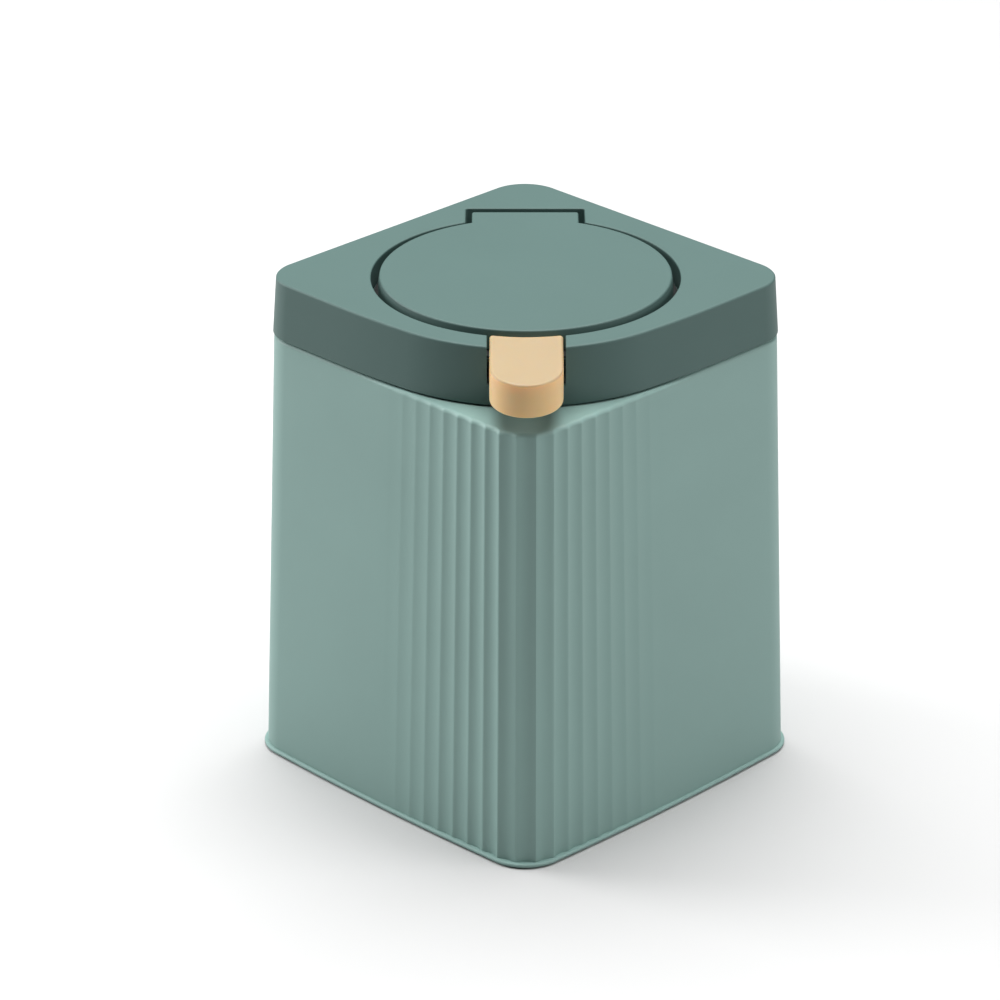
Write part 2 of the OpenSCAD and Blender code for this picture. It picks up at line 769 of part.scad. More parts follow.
// Both springs run round their pin; one leg ends on the lid's side and one on the moving side
pin_to_coil = 0.4;
hinge_coil_r = pin_d / 2 + wire_d / 2 + pin_to_coil;
hinge_coil = coil(hinge_turns, hinge_coil_r, 0, 90);
hinge_leg_l = 9;
hinge_leg_down = hinge_z - pocket_z - seat_gap - wire_d / 2;
hinge_leg_up = flap_top - flap_top_t - hinge_z - hinge_coil_r - wire_d / 2 - seat_gap;
hinge_wire = concat(
    [hinge_coil[0] - [0, 0, hinge_leg_down]],
    hinge_coil,
    [hinge_coil[len(hinge_coil) - 1] + [0, -hinge_leg_l, hinge_leg_up]]
);
button_coil_r = button_pin_d / 2 + wire_d / 2 + pin_to_coil;
button_wind = coil(button_turns, button_coil_r, 90, 90);
button_leg_back = 7.4;
button_leg_front = 4.6;
button_leg_rise = 0.7;
button_leg_up = liner_z - pivot_z - button_coil_r - wire_d / 2 - seat_gap;
button_wire = concat(
    [button_wind[0] + [0, button_leg_back, button_leg_up]],
    button_wind,
    [button_wind[len(button_wind) - 1] + [0, -button_leg_front, button_leg_rise]]
);
echo(str("hinge_spring least gap to itself, mm: ", least_gap(hinge_wire)));
echo(str("button_spring least gap to itself, mm: ", least_gap(button_wire)));

module hinge_spring() color(steel) {
    corner_view() translate([0, hinge_y, hinge_z]) wire(hinge_wire);
}
module button_spring() color(steel) {
    corner_view() translate([0, pivot_y, pivot_z]) wire(button_wire);
}

module flap_panel() color(lid_green) {
    flap_h = flap_top - flap_z;
    tab_front = hinge_y - 12;
    web = 0.3;
    nose_side = 0.8;
    spring_room_l = 7;
    spring_room_down = 1;
    corner_view() difference() {
        union() {
            translate([0, -hole_shift, flap_z]) rotate_extrude() difference() {
                union() {
                    square([flap_r, flap_h - flap_edge_r]);
                    square([flap_r - flap_edge_r, flap_h]);
                    translate([flap_r - flap_edge_r, flap_h - flap_edge_r]) circle(r = flap_edge_r);
                }
                translate([-over, -over]) square([flap_in + over, flap_h - flap_top_t + over]);
            }
            translate([-tab_w / 2, tab_front, flap_top - tab_t])
                cube([tab_w, hinge_y + tab_reach - tab_front, tab_t]);
            for (side = [-1, 1]) {
                x = side > 0 ? knuckle_x : -knuckle_x - knuckle_l;
                translate([x, hinge_y, hinge_z]) rotate([0, 90, 0]) cylinder(d = knuckle_d, h = knuckle_l);
                translate([x, hinge_y - knuckle_d / 2 + web, hinge_z])
                    cube([knuckle_l, knuckle_d - 2 * web, pin_depth - tab_t + fuse]);
            }
            for (spot = flap_screw_spots)
                translate([spot[0], spot[1], flap_z + flap_cover_t])
                    cylinder(r = boss_r, h = flap_h - flap_top_t - flap_cover_t + fuse);
        }
        translate([-tab_w / 2, hinge_y, hinge_z])
            rotate([0, 90, 0]) cylinder(d = pin_d + 2 * pin_fit, h = tab_w);
        translate([-coil_room / 2, hinge_y - spring_room_l, hinge_z - spring_room_down])
            cube([coil_room, spring_room_l, pin_depth - flap_top_t + spring_room_down]);
        translate([-nose_w / 2 - nose_side, -hole_shift - flap_r - over, nose_z - seat_gap])
            cube([nose_w + 2 * nose_side, flap_wall + 2 * over, nose_t + 2 * nose_side]);
        for (spot = flap_screw_spots)
            translate([spot[0], spot[1], flap_z])
                cylinder(d = small_screw_d + 2 * still_fit, h = small_head_h + flap_screw_l);
    }
}

module flap_liner() color(dark_plastic) {
    corner_view() difference() {
        translate([0, -hole_shift, flap_z]) cylinder(r = flap_in - loose_fit, h = flap_cover_t);
        for (spot = flap_screw_spots) translate([spot[0], spot[1], flap_z - over]) {
            cylinder(d = small_screw_d + 4 * pin_fit, h = flap_cover_t + 2 * over);
            cylinder(d = small_head_d + loose_fit, h = small_head_h + over);
        }
    }
}

module flap_screws() color(steel) {
    head_h = small_head_h - 0.1;
    corner_view() for (spot = flap_screw_spots)
        translate([spot[0], spot[1], flap_z + small_head_h])
            screw(small_screw_d, flap_screw_l - screw_end, small_head_d, head_h);
}

// The space between the button's top and a depth below it, drawn along the slope
module button_slab(from_top, to_top) {
    translate([0, button_back_y, lid_top]) rotate([button_slope, 0, 0])
        translate([-button_w, -2 * button_l, -to_top])
            cube([2 * button_w, 3 * button_l, to_top - from_top]);
}
// The button seen from above: round at the front, straight sides, hollowed back
module button_plan(inset) {
    tip = button_tip_y + button_half;
    difference() {
        union() {
            translate([0, tip]) circle(r = button_half - inset);
            translate([-button_half + inset, tip]) square([button_w - 2 * inset, 1.3 * button_l]);
        }
        translate([0, -hole_shift]) circle(r = button_back_r + inset, $fn = 180);
    }
}
module push_button() color(beech) {
    deep = 3 * button_t;
    notch = loose_fit;
    notch_l = 10;
    notch_front = button_back_y - 6;
    corner_view() difference() {
        intersection() {
            translate([0, 0, lid_top - deep]) linear_extrude(2 * deep) button_plan(0);
            button_slab(0, button_t);
        }
        intersection() {
            translate([0, 0, lid_top - deep]) linear_extrude(2 * deep) button_plan(button_wall);
            button_slab(button_wall, 2 * button_t);
        }
        translate([-nose_w / 2 - notch, notch_front, nose_z - notch])
            cube([nose_w + 2 * notch, notch_l, nose_t + 2 * notch]);
    }
}

module latch_lever() color(dark_plastic) {
    inner = button_half - button_wall - loose_fit;
    back = button_back_y - button_wall - loose_fit - seat_gap;
    stem_t = 4.4;
    cheek_in = button_coil / 2 + 1;
    cheek_out = slot_half - ear_gap;
    coil_over = 1.3;
    stem_z = pivot_z + button_coil_r + wire_d + coil_over;
    stem_top = nose_z + nose_t;
    nose_tip = -hole_shift - flap_r + latch_bite;
    corner_view() difference() {
        union() {
            translate([-inner, back - stem_t, stem_z]) cube([2 * inner, stem_t, stem_top - stem_z]);
            translate([-nose_w / 2, back - over, nose_z])
                cube([nose_w, nose_tip - back + over, nose_t]);
            for (side = [-1, 1]) {
                x = side > 0 ? cheek_in : -cheek_out;
                translate([x, pivot_y, pivot_z])
                    rotate([0, 90, 0]) cylinder(r = ear_r, h = cheek_out - cheek_in);
                x_up = side > 0 ? cheek_in : -inner;
                translate([x_up, back - stem_t, pivot_z])
                    cube([inner - cheek_in, stem_t, stem_z - pivot_z + fuse]);
            }
        }
        translate([-cheek_out - over, pivot_y, pivot_z])
            rotate([0, 90, 0]) cylinder(d = button_pin_d + 2 * pin_fit, h = 2 * (cheek_out + over));
    }
}

body_shell();
base_plate();
base_screws();
foot_pad_front();
foot_pad_back();
foot_pad_left();
foot_pad_right();
inner_bucket();
lid_frame();
lid_liner();
lid_screws();
flap_seal();
hinge_pin();
hinge_spring();
button_pin();
button_spring();
flap_panel();
flap_liner();
flap_screws();
push_button();
latch_lever();
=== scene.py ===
# %% [markdown]
# # A push top countertop bin
# A small square bin stands on its corner towards us: a sage-green body with flutes round the front
# corner, a darker lid with a round flap, and a wood-coloured button that sticks out over the ledge.
# The solids of the bin come packed from the CAD model. This notebook dresses them: where a CAD
# piece is too plain or too coarse to look at, a finer piece takes its place and rides the same body.

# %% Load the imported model
import json
import math

import bpy
import numpy as np
from mathutils import Matrix, Vector


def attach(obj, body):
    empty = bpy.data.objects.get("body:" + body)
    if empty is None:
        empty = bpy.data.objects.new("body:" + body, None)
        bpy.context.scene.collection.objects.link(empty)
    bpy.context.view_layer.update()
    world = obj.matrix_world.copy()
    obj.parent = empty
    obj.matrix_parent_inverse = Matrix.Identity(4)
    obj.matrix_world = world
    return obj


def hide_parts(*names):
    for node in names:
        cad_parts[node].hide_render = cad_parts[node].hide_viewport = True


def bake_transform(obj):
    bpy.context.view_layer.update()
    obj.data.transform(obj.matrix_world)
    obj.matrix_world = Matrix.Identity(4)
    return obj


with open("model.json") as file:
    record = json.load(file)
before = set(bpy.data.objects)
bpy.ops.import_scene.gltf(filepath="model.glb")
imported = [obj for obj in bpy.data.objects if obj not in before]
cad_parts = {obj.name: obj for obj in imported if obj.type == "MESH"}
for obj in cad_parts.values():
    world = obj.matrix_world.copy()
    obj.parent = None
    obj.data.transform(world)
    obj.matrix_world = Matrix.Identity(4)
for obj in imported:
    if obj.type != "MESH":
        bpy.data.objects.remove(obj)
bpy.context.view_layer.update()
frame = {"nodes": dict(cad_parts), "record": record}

# %% [markdown]
# ## The camera
# The photograph was taken from far away with a long lens: its upright edges hardly lean. The lens,
# the distance and the height were solved from the outlines of the base, the body and the lid. The
# camera stands square to the front corner, a little over 25 degrees above the worktop.

# %% Camera
MM = 0.001
PHOTO_SIDE = 1000
FOCAL_PIXELS = 4829.855
CAMERA_DISTANCE = 1953.8 * MM
CAMERA_AZIMUTH = 44.747
CAMERA_ELEVATION = 25.497
TARGET = Vector((0, 0, 99.8)) * MM
TARGET_PIXEL = (525.16, 523.16)


def direction(azimuth, elevation):
    """Unit vector from the bin towards a viewer; azimuth 0 is the side that faces -Y."""
    a, e = math.radians(azimuth), math.radians(elevation)
    return Vector((math.sin(a) * math.cos(e), -math.cos(a) * math.cos(e), math.sin(e)))


def make_camera():
    back = direction(CAMERA_AZIMUTH, CAMERA_ELEVATION)
    right = Vector((0, 0, 1)).cross(back).normalized()
    up = back.cross(right)
    metres_per_pixel = CAMERA_DISTANCE / FOCAL_PIXELS
    aim = TARGET - right * (TARGET_PIXEL[0] - PHOTO_SIDE / 2) * metres_per_pixel
    aim = aim + up * (TARGET_PIXEL[1] - PHOTO_SIDE / 2) * metres_per_pixel
    data = bpy.data.cameras.new("camera")
    data.sensor_width = 36
    data.lens = FOCAL_PIXELS / PHOTO_SIDE * data.sensor_width
    data.clip_end = 50
    camera = bpy.data.objects.new("camera", data)
    bpy.context.scene.collection.objects.link(camera)
    camera.location = TARGET + back * CAMERA_DISTANCE
    camera.rotation_mode = "QUATERNION"
    camera.rotation_quaternion = (aim - camera.location).to_track_quat("-Z", "Y")
    bpy.context.scene.camera = camera
    return camera


camera = make_camera()
print("lens, mm:", round(camera.data.lens, 2), "camera at", [round(v, 4) for v in camera.location])

# %% [markdown]
# ## Light and floor
# The photograph is a catalogue shot on white. The top faces are the brightest, the two sides are
# about half as bright, and the corner that faces us is darkest. So a big soft box hangs above, a
# little behind the bin, two smaller ones stand low at the sides, and a weak one hangs over the
# front, which keeps the ledge under the button from going black.

# %% Light and floor
# Each light: azimuth, elevation, distance in metres, side in metres, watts.
LIGHTS = {
    "top_light": (224.7, 76, 2.6, 2.8, 163.0),
    "left_light": (-62, 22, 1.5, 0.7, 18.5),
    "right_light": (122, 24, 1.5, 0.8, 9.2),
    "front_light": (44.7, 65, 1.6, 0.9, 3.5),
}
WORLD_STRENGTH = 0.02
FLOOR_HALF = 4
FLOOR_COLOUR = (0.5, 0.5, 0.5)


def add_light(name, azimuth, elevation, distance, side, watts):
    data = bpy.data.lights.new(name, "AREA")
    data.shape = "SQUARE"
    data.size = side
    data.energy = watts
    light = bpy.data.objects.new(name, data)
    bpy.context.scene.collection.objects.link(light)
    back = direction(azimuth, elevation)
    light.location = TARGET + back * distance
    light.rotation_mode = "QUATERNION"
    light.rotation_quaternion = (-back).to_track_quat("-Z", "Y")
    return light


for name, setting in LIGHTS.items():
    add_light(name, *setting)

world = bpy.data.worlds.new("studio")
world.use_nodes = True
world.node_tree.nodes["Background"].inputs["Color"].default_value = (1, 1, 1, 1)
world.node_tree.nodes["Background"].inputs["Strength"].default_value = WORLD_STRENGTH
bpy.context.scene.world = world
bpy.context.scene.view_settings.view_transform = "Standard"

floor_mesh = bpy.data.meshes.new("floor")
f = FLOOR_HALF
floor_corners = [(-f, -f, 0), (f, -f, 0), (f, f, 0), (-f, f, 0)]
floor_mesh.from_pydata(floor_corners, [], [(0, 1, 2, 3)])
floor = bpy.data.objects.new("floor", floor_mesh)
bpy.context.scene.collection.objects.link(floor)
print("lights:", list(LIGHTS))

# %% [markdown]
# ## Finishes
# Moulded plastic is never quite flat: the mould leaves a fine grain that scatters the light, and
# the colour drifts a little over the surface. Each finish is a small tree of nodes on Object
# coordinates, so the grain has the same size on every piece, and numbers that are the same all
# over go straight on the shader's own sockets.

# %% A helper for node trees, and the floor's finish


def add_node(tree, kind, links=None, **settings):
    """Makes a node, sets its properties, and fills its inputs with values or other nodes' outputs."""
    made = tree.nodes.new(kind)
    for key, value in settings.items():
        setattr(made, key, value)
    for key, value in (links or {}).items():
        socket = made.inputs[key]
        if isinstance(value, bpy.types.NodeSocket):
            tree.links.new(value, socket)
        else:
            socket.default_value = value
    return made


def new_finish(name):
    """An empty material: its tree, its shader, and the Object coordinates."""
    material = bpy.data.materials.new(name)
    material.use_nodes = True
    tree = material.node_tree
    shader = tree.nodes["Principled BSDF"]
    place = add_node(tree, "ShaderNodeTexCoord").outputs["Object"]
    return material, tree, shader, place


def drift(tree, place, colour, scale, amount):
    """The colour, a little darker and lighter in soft patches of about 1/scale metres."""
    patches = add_node(tree, "ShaderNodeTexNoise", {"Vector": place, "Scale": scale, "Detail": 3.0})
    ramp = add_node(tree, "ShaderNodeValToRGB", {"Fac": patches.outputs["Fac"]})
    ramp.color_ramp.elements[0].position = 0.3
    ramp.color_ramp.elements[1].position = 0.7
    for element, factor in zip(ramp.color_ramp.elements, (1 - amount, 1 + amount)):
        element.color = tuple(min(1, c * factor) for c in colour) + (1,)
    return ramp.outputs["Color"]


def grain(tree, place, scale, depth):
    """Bump from a fine mould texture, with a depth in metres."""
    noise = add_node(tree, "ShaderNodeTexNoise", {"Vector": place, "Scale": scale, "Detail": 2.0})
    bump = add_node(
        tree, "ShaderNodeBump", {"Height": noise.outputs["Fac"], "Strength": 1.0, "Distance": depth}
    )
    return bump.outputs["Normal"]


def plain_floor():
    material, tree, shader, place = new_finish("pale_floor")
    tree.links.new(drift(tree, place, FLOOR_COLOUR, 2.0, 0.01), shader.inputs["Base Color"])
    shader.inputs["Roughness"].default_value = 0.9
    shader.inputs["Specular IOR Level"].default_value = 0.1
    return material


floor.data.materials.append(plain_floor())
print("finish:", floor.data.materials[0].name)

# %% Plastic, rubber and steel


def moulded(name, colour, roughness, grain_scale=2600.0, grain_depth=0.00001, amount=0.02):
    """Matte moulded plastic with a fine grain; the gloss drifts with the colour."""
    material, tree, shader, place = new_finish(name)
    tree.links.new(drift(tree, place, colour, 18.0, amount), shader.inputs["Base Color"])
    sheen = add_node(tree, "ShaderNodeTexNoise", {"Vector": place, "Scale": 40.0, "Detail": 4.0})
    spread = add_node(
        tree,
        "ShaderNodeMapRange",
        {"Value": sheen.outputs["Fac"], "To Min": roughness - 0.04, "To Max": roughness + 0.04},
    )
    tree.links.new(spread.outputs["Result"], shader.inputs["Roughness"])
    tree.links.new(grain(tree, place, grain_scale, grain_depth), shader.inputs["Normal"])
    shader.inputs["Specular IOR Level"].default_value = 0.35
    return material


def drawn_steel(name, colour):
    """Bright wire and pins: fine drawing lines round the Z direction of the noise."""
    material, tree, shader, place = new_finish(name)
    squeeze = add_node(tree, "ShaderNodeMapping", {"Vector": place, "Scale": (1.0, 1.0, 0.15)})
    lines = add_node(
        tree,
        "ShaderNodeTexNoise",
        {"Vector": squeeze.outputs["Vector"], "Scale": 5000.0, "Detail": 2.0},
    )
    spread = add_node(
        tree, "ShaderNodeMapRange", {"Value": lines.outputs["Fac"], "To Min": 0.22, "To Max": 0.4}
    )
    tree.links.new(spread.outputs["Result"], shader.inputs["Roughness"])
    tree.links.new(drift(tree, place, colour, 300.0, 0.05), shader.inputs["Base Color"])
    shader.inputs["Metallic"].default_value = 1.0
    return material


BODY_COLOUR = (0.208, 0.326, 0.301)
LID_COLOUR = (0.0585, 0.109, 0.0995)
BEECH_COLOUR = (0.33, 0.247, 0.14)
# Painted light: the button's sides get this brighter, yellower base colour than its top.
BEECH_PAINTED_SIDE_LIGHT = (0.69, 0.46, 0.222)
finishes = {
    "body_green": moulded("sage_plastic", BODY_COLOUR, 0.52),
    "lid_green": moulded("deep_green_plastic", LID_COLOUR, 0.55),
    "beech": moulded("beech_coloured_plastic", BEECH_COLOUR, 0.42, 3200.0, 0.000006, 0.03),
    "dark_plastic": moulded("charcoal_plastic", (0.035, 0.05, 0.046), 0.5),
    "bucket_grey": moulded("pale_bucket_plastic", (0.42, 0.47, 0.44), 0.45),
    "soft_grey": moulded("soft_grey_rubber", (0.03, 0.033, 0.032), 0.8, 1800.0, 0.00003),
    "steel": drawn_steel("drawn_steel", (0.62, 0.62, 0.63)),
}

for part in frame["record"]["subparts"]:
    for slot in frame["nodes"][part["node"]].material_slots:
        slot.material = finishes[part["material_slot"]]
print("finishes:", [material.name for material in finishes.values()])

# %% [markdown]
# The button needs two touches more. Its plastic lets a little light in, which warms its round edges,
# and its sides get painted light: a brighter, yellower beech than its top, mixed in by the way a face
# points. The pin beside it is blackened, so that nothing glints in the slot.

# %% The button's plastic and its pin


def paint_side_light(material, side_light_colour):
    """Mixes in painted light, a brighter side colour, where the surface doesn't point up."""
    tree = material.node_tree
    shader = tree.nodes["Principled BSDF"]
    way = add_node(tree, "ShaderNodeTexCoord").outputs["Normal"]
    up = add_node(tree, "ShaderNodeSeparateXYZ", {"Vector": way}).outputs["Z"]
    topness = add_node(
        tree, "ShaderNodeMapRange", {"Value": up, "From Min": 0.05, "From Max": 0.6}
    ).outputs["Result"]
    plain = shader.inputs["Base Color"].links[0].from_socket
    mixed = add_node(tree, "ShaderNodeMix", {"Factor": topness}, data_type="RGBA")
    # A Mix node's two colour inputs and its colour output lie behind those for numbers and vectors.
    painted_side_input, top_input, result = mixed.inputs[6], mixed.inputs[7], mixed.outputs[2]
    painted_side_input.default_value = (*side_light_colour, 1)
    tree.links.new(plain, top_input)
    tree.links.new(result, shader.inputs["Base Color"])
    return shader


# Painted light: a brighter side colour is mixed into the button wherever a face doesn't point up.
beech_shader = paint_side_light(finishes["beech"], BEECH_PAINTED_SIDE_LIGHT)
beech_shader.inputs["Subsurface Weight"].default_value = 0.4
beech_shader.inputs["Subsurface Radius"].default_value = (0.01, 0.004, 0.0015)
beech_shader.inputs["Subsurface Scale"].default_value = 1.0
pin_slot = frame["nodes"]["button_pin"].material_slots[0]
pin_slot.material = drawn_steel("blackened_steel", (0.03, 0.032, 0.033))
print("button pin:", pin_slot.material.name)

# %% [markdown]
# ## Outlines and lofts
# Nearly every piece here is an outline that changes a little as it rises: the body, the lid, the
# bucket, the rim. A loft joins such outlines ring by ring. Rings that go up the outside and come
# down the inside give a wall with a real thickness.

# %% Outlines, lofts and the corner view


def arc(cx, cy, r, start, end, steps):
    """Points along an arc, both ends included, angles in degrees."""
    a = np.radians(np.linspace(start, end, steps + 1))
    return np.column_stack([cx + r * np.cos(a), cy + r * np.sin(a)])


def circle(r, cx=0.0, cy=0.0, steps=160):
    """Points round a whole circle, the first one at +X."""
    return arc(cx, cy, r, 0, 360, steps)[:-1]


def rounded_box(x0, x1, y0, y1, r, steps=6):
    """A rectangle between these limits, with round corners."""
    return np.vstack([
        arc(x1 - r, y1 - r, r, 0, 90, steps),
        arc(x0 + r, y1 - r, r, 90, 180, steps),
        arc(x0 + r, y0 + r, r, 180, 270, steps),
        arc(x1 - r, y0 + r, r, 270, 360, steps),
    ])


def new_piece(name, points, faces):
    """A mesh object from points in millimetres."""
    mesh = bpy.data.meshes.new(name)
    mesh.from_pydata([tuple(float(v) * MM for v in p) for p in points], [], faces)
    mesh.update()
    piece = bpy.data.objects.new(name, mesh)
    bpy.context.scene.collection.objects.link(piece)
    return piece


def loft(name, rings, ring_closed=False):
    """Joins (outline, height) rings; the ends are capped, or the last ring joins the first."""
    n, count = len(rings[0][0]), len(rings)
    heights = [np.broadcast_to(z, n) for outline, z in rings]
    points = np.vstack([np.column_stack([ring[0], z]) for ring, z in zip(rings, heights)])
    faces = []
    for k in range(count if ring_closed else count - 1):
        low, high = k * n, (k + 1) % count * n
        for i in range(n):
            j = (i + 1) % n
            faces.append((low + i, low + j, high + j, high + i))
    if not ring_closed:
        faces.append(tuple(range(n - 1, -1, -1)))
        faces.append(tuple((count - 1) * n + i for i in range(n)))
    return new_piece(name, points, faces)


def turned(name, profile, steps, cx=0.0, cy=0.0):
    """A turned piece: a ring of each radius at its height."""
    return loft(name, [(circle(r, cx, cy, steps), z) for r, z in profile])


def to_corner(piece):
    """Turns a piece drawn with the button at -Y so that the button is at the +X -Y corner."""
    piece.data.transform(Matrix.Rotation(math.radians(45), 4, "Z"))
    return piece


# %% Finishing a mesh


def settle(piece):
    """Makes what the modifiers show the piece's own mesh."""
    shown = piece.evaluated_get(bpy.context.evaluated_depsgraph_get())
    made = bpy.data.meshes.new_from_object(shown)
    piece.modifiers.clear()
    old, piece.data = piece.data, made
    bpy.data.meshes.remove(old)
    made.name = piece.name
    return piece


def combine(piece, others, operation):
    """Adds the other pieces to this one, or cuts them out of it."""
    for other in others:
        change = piece.modifiers.new("combine", "BOOLEAN")
        change.operation = operation
        change.solver = "EXACT"
        change.object = other
    settle(piece)
    for other in others:
        bpy.data.objects.remove(other)
    return piece


def smooth(piece, angle=32):
    """Smooth shading, except over edges sharper than the angle; flat faces stay flat."""
    piece.data.shade_smooth()
    piece.data.set_sharp_from_angle(angle=math.radians(angle))
    weights = piece.modifiers.new("weights", "WEIGHTED_NORMAL")
    weights.keep_sharp = True
    return settle(piece)


def dress(piece, finish, body, *nodes):
    """Gives a piece its finish and its body, and hides the CAD nodes it stands for."""
    piece.data.materials.clear()
    piece.data.materials.append(finishes[finish])
    for face in piece.data.polygons:
        face.material_index = 0
    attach(piece, body)
    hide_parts(*nodes)
    triangles = sum(len(face.vertices) - 2 for face in piece.data.polygons)
    print(piece.name, "on", body + ":", triangles, "triangles")
    return piece


# %% [markdown]
# ## The fluted body
# The wall is drawn in, then pressed: the plain shell carries three numbers on each point, which say
# how many flutes it lies from the front corner, how far the press reaches it, and which way is out.
# Geometry Nodes then press the flutes by one rule, so their depth, number and softness are inputs
# that can be changed without touching the shell. The flutes fade out along both sides.

# %% The body's outline
BODY_TOP_HALF = 75.5
BODY_BOTTOM_HALF = 81.2
BODY_CORNER = 16.8
BOTTOM_BOW = 2.4
FLUTE_PITCH = 7.5
FOOT_PITCH = 8.11
SIDE_FLUTES = 9
STEPS_PER_FLUTE = 14


def outline_spot(s, half, r, bow):
    """Point and outward angle at distance s from the middle of a corner, along a bowed side."""
    lean = math.atan(2 * bow * (half - r) / half**2)
    y = half - r - bow + r * math.sin(lean)
    centre = half - bow * (y / half) ** 2 - r * math.cos(lean)
    length = r * (math.pi / 4 - lean)
    if s <= length:
        a = math.pi / 4 + s / r
        return centre + r * math.cos(a), centre + r * math.sin(a), a
    x = centre + r * math.sin(lean) - (s - length)
    return x, half - bow * (x / half) ** 2, math.pi / 2 - math.atan(2 * bow * x / half**2)


def half_outline(half, r, bow, pitch):
    """Rows of x, y, outward angle and flute number, from the front corner to the back one."""
    lean = math.atan(2 * bow * (half - r) / half**2)
    y = half - r - bow + r * math.sin(lean)
    centre = half - bow * (y / half) ** 2 - r * math.cos(lean)
    edge = centre + r * math.sin(lean)
    last = (SIDE_FLUTES + 0.5) * pitch
    rows = []
    for s in np.linspace(0, last, int((SIDE_FLUTES + 0.5) * STEPS_PER_FLUTE) + 1):
        rows.append((*outline_spot(s, half, r, bow), s / pitch))
    start = rows[-1][0]
    for x in np.linspace(start, -edge, 10)[1:-1]:
        tilt = math.atan(2 * bow * x / half**2)
        rows.append((x, half - bow * (x / half) ** 2, math.pi / 2 - tilt, 99))
    for a in np.linspace(math.pi / 2 + lean, math.pi - lean, 21):
        rows.append((-centre + r * math.cos(a), centre + r * math.sin(a), a, 99))
    for y in np.linspace(edge, -edge, 14)[1:-1]:
        tilt = math.atan(2 * bow * y / half**2)
        rows.append((-half + bow * (y / half) ** 2, y, math.pi - tilt, 99))
    for a in np.linspace(math.pi + lean, math.pi * 5 / 4, 11):
        rows.append((-centre + r * math.cos(a), -centre + r * math.sin(a), a, 99))
    return np.array(rows)


def quarter_turn(rows):
    """Turns rows of x and y clockwise by a quarter, from +X +Y to +X -Y."""
    return np.column_stack([rows[:, 1], -rows[:, 0]])


def body_outline(half, r=BODY_CORNER, bow=0.0, pitch=FLUTE_PITCH):
    """The whole outline, with the front corner at +X -Y: points, outward ways, flute numbers."""
    side = half_outline(half, r, bow, pitch)
    way = np.column_stack([np.cos(side[:, 2]), np.sin(side[:, 2])])
    mirrored = side[-2:0:-1]
    points = np.vstack([side[:, :2], mirrored[:, 1::-1]])
    ways = np.vstack([way, way[-2:0:-1, ::-1]])
    flutes = np.concatenate([side[:, 3], -mirrored[:, 3]])
    return quarter_turn(points), quarter_turn(ways), flutes


spots, ways, flutes = body_outline(BODY_TOP_HALF)
print("outline points:", len(spots), "flutes:", 2 * SIDE_FLUTES + 1)

# %% The lid's outline, which the neck follows
HOLE_SHIFT = 0.9
FRONT_SHIFT = HOLE_SHIFT / math.sqrt(2)
FRONT_IN = 1.6
FRONT_TURN = 5.6
LID_TOP_HALF = 74.5
LID_BOTTOM_HALF = 76.1
LID_Z = 184.8
LID_TOP = 208.5
LID_CORNER_CENTRE = 58.2


def lid_half(z):
    """Half the width of the lid at a height: its sides lean in."""
    return LID_BOTTOM_HALF + (LID_TOP_HALF - LID_BOTTOM_HALF) * (z - LID_Z) / (LID_TOP - LID_Z)


def front_bend(half, steps=20):
    """The easy bend from the -Y side into the front's arc, as a curve with one control point."""
    big, turn = half - FRONT_SHIFT, math.radians(FRONT_TURN)
    small = big - FRONT_IN
    bend = np.array([FRONT_SHIFT + (small - big * math.cos(turn)) / math.sin(turn), -half])
    end = np.array([FRONT_SHIFT + small * math.sin(turn), -FRONT_SHIFT - small * math.cos(turn)])
    start = bend - (np.linalg.norm(end - bend), 0)
    t = np.linspace(0, 1, steps, endpoint=False)[:, None]
    return (1 - t) ** 2 * start + 2 * t * (1 - t) * bend + t**2 * end


def lid_outline(half, r=None, steps=28):
    """Three round corners, and a front corner that runs round the opening."""
    r = half - LID_CORNER_CENTRE if r is None else r
    c, small, bend = half - r, half - FRONT_SHIFT - FRONT_IN, front_bend(half)
    return np.vstack([
        bend,
        arc(FRONT_SHIFT, -FRONT_SHIFT, small, -90 + FRONT_TURN, -FRONT_TURN, 4 * steps),
        -bend[::-1, ::-1],
        arc(c, c, r, 0, 90, steps),
        arc(-c, c, r, 90, 180, steps),
        arc(-c, -c, r, 180, 270, steps),
    ])


def matched(outline, half):
    """The lid's outline, with one point for each point of another outline, seen from the middle."""
    ways = outline / np.linalg.norm(outline, axis=1)[:, None]
    here = lid_outline(half)
    step = np.roll(here, -1, axis=0) - here
    outwards = np.column_stack([step[:, 1], -step[:, 0]])
    facing = ways @ outwards.T
    reach = np.sum(outwards * here, axis=1) / np.where(facing > 1e-9, facing, np.nan)
    return ways * np.nanmin(reach, axis=1)[:, None]


print("lid is", 2 * lid_half(LID_Z), "mm wide at its foot and", 2 * lid_half(LID_TOP), "at its top")

# %% The plain shell, with its numbers for the press
SHELL_Z = 2.2
LEDGE_Z = 184.1
LEDGE_EDGE = 1.6
SHELL_WALL = 2.4
NECK_TOP = 194.8
SHELF_Z = 182.3
SHELF_T = 2.2
NECK_HALF = lid_half(NECK_TOP) - 2.7
NECK_WALL = 2.0
NECK_STEP = 0.2
SHELF_W = 3.2


def body_row(half, r, bow, z, press):
    """A ring of the wall; the flutes widen towards the foot, as the wall does."""
    share = (half - BODY_TOP_HALF) / (BODY_BOTTOM_HALF - BODY_TOP_HALF)
    pitch = FLUTE_PITCH + (FOOT_PITCH - FLUTE_PITCH) * share
    points, ways, flutes = body_outline(half, r, bow, pitch)
    return points, z, ways, flutes, press


def wall_half(z):
    """Half the width of the body at a height."""
    return BODY_BOTTOM_HALF + (BODY_TOP_HALF - BODY_BOTTOM_HALF) * (z - SHELL_Z) / (LEDGE_Z - SHELL_Z)


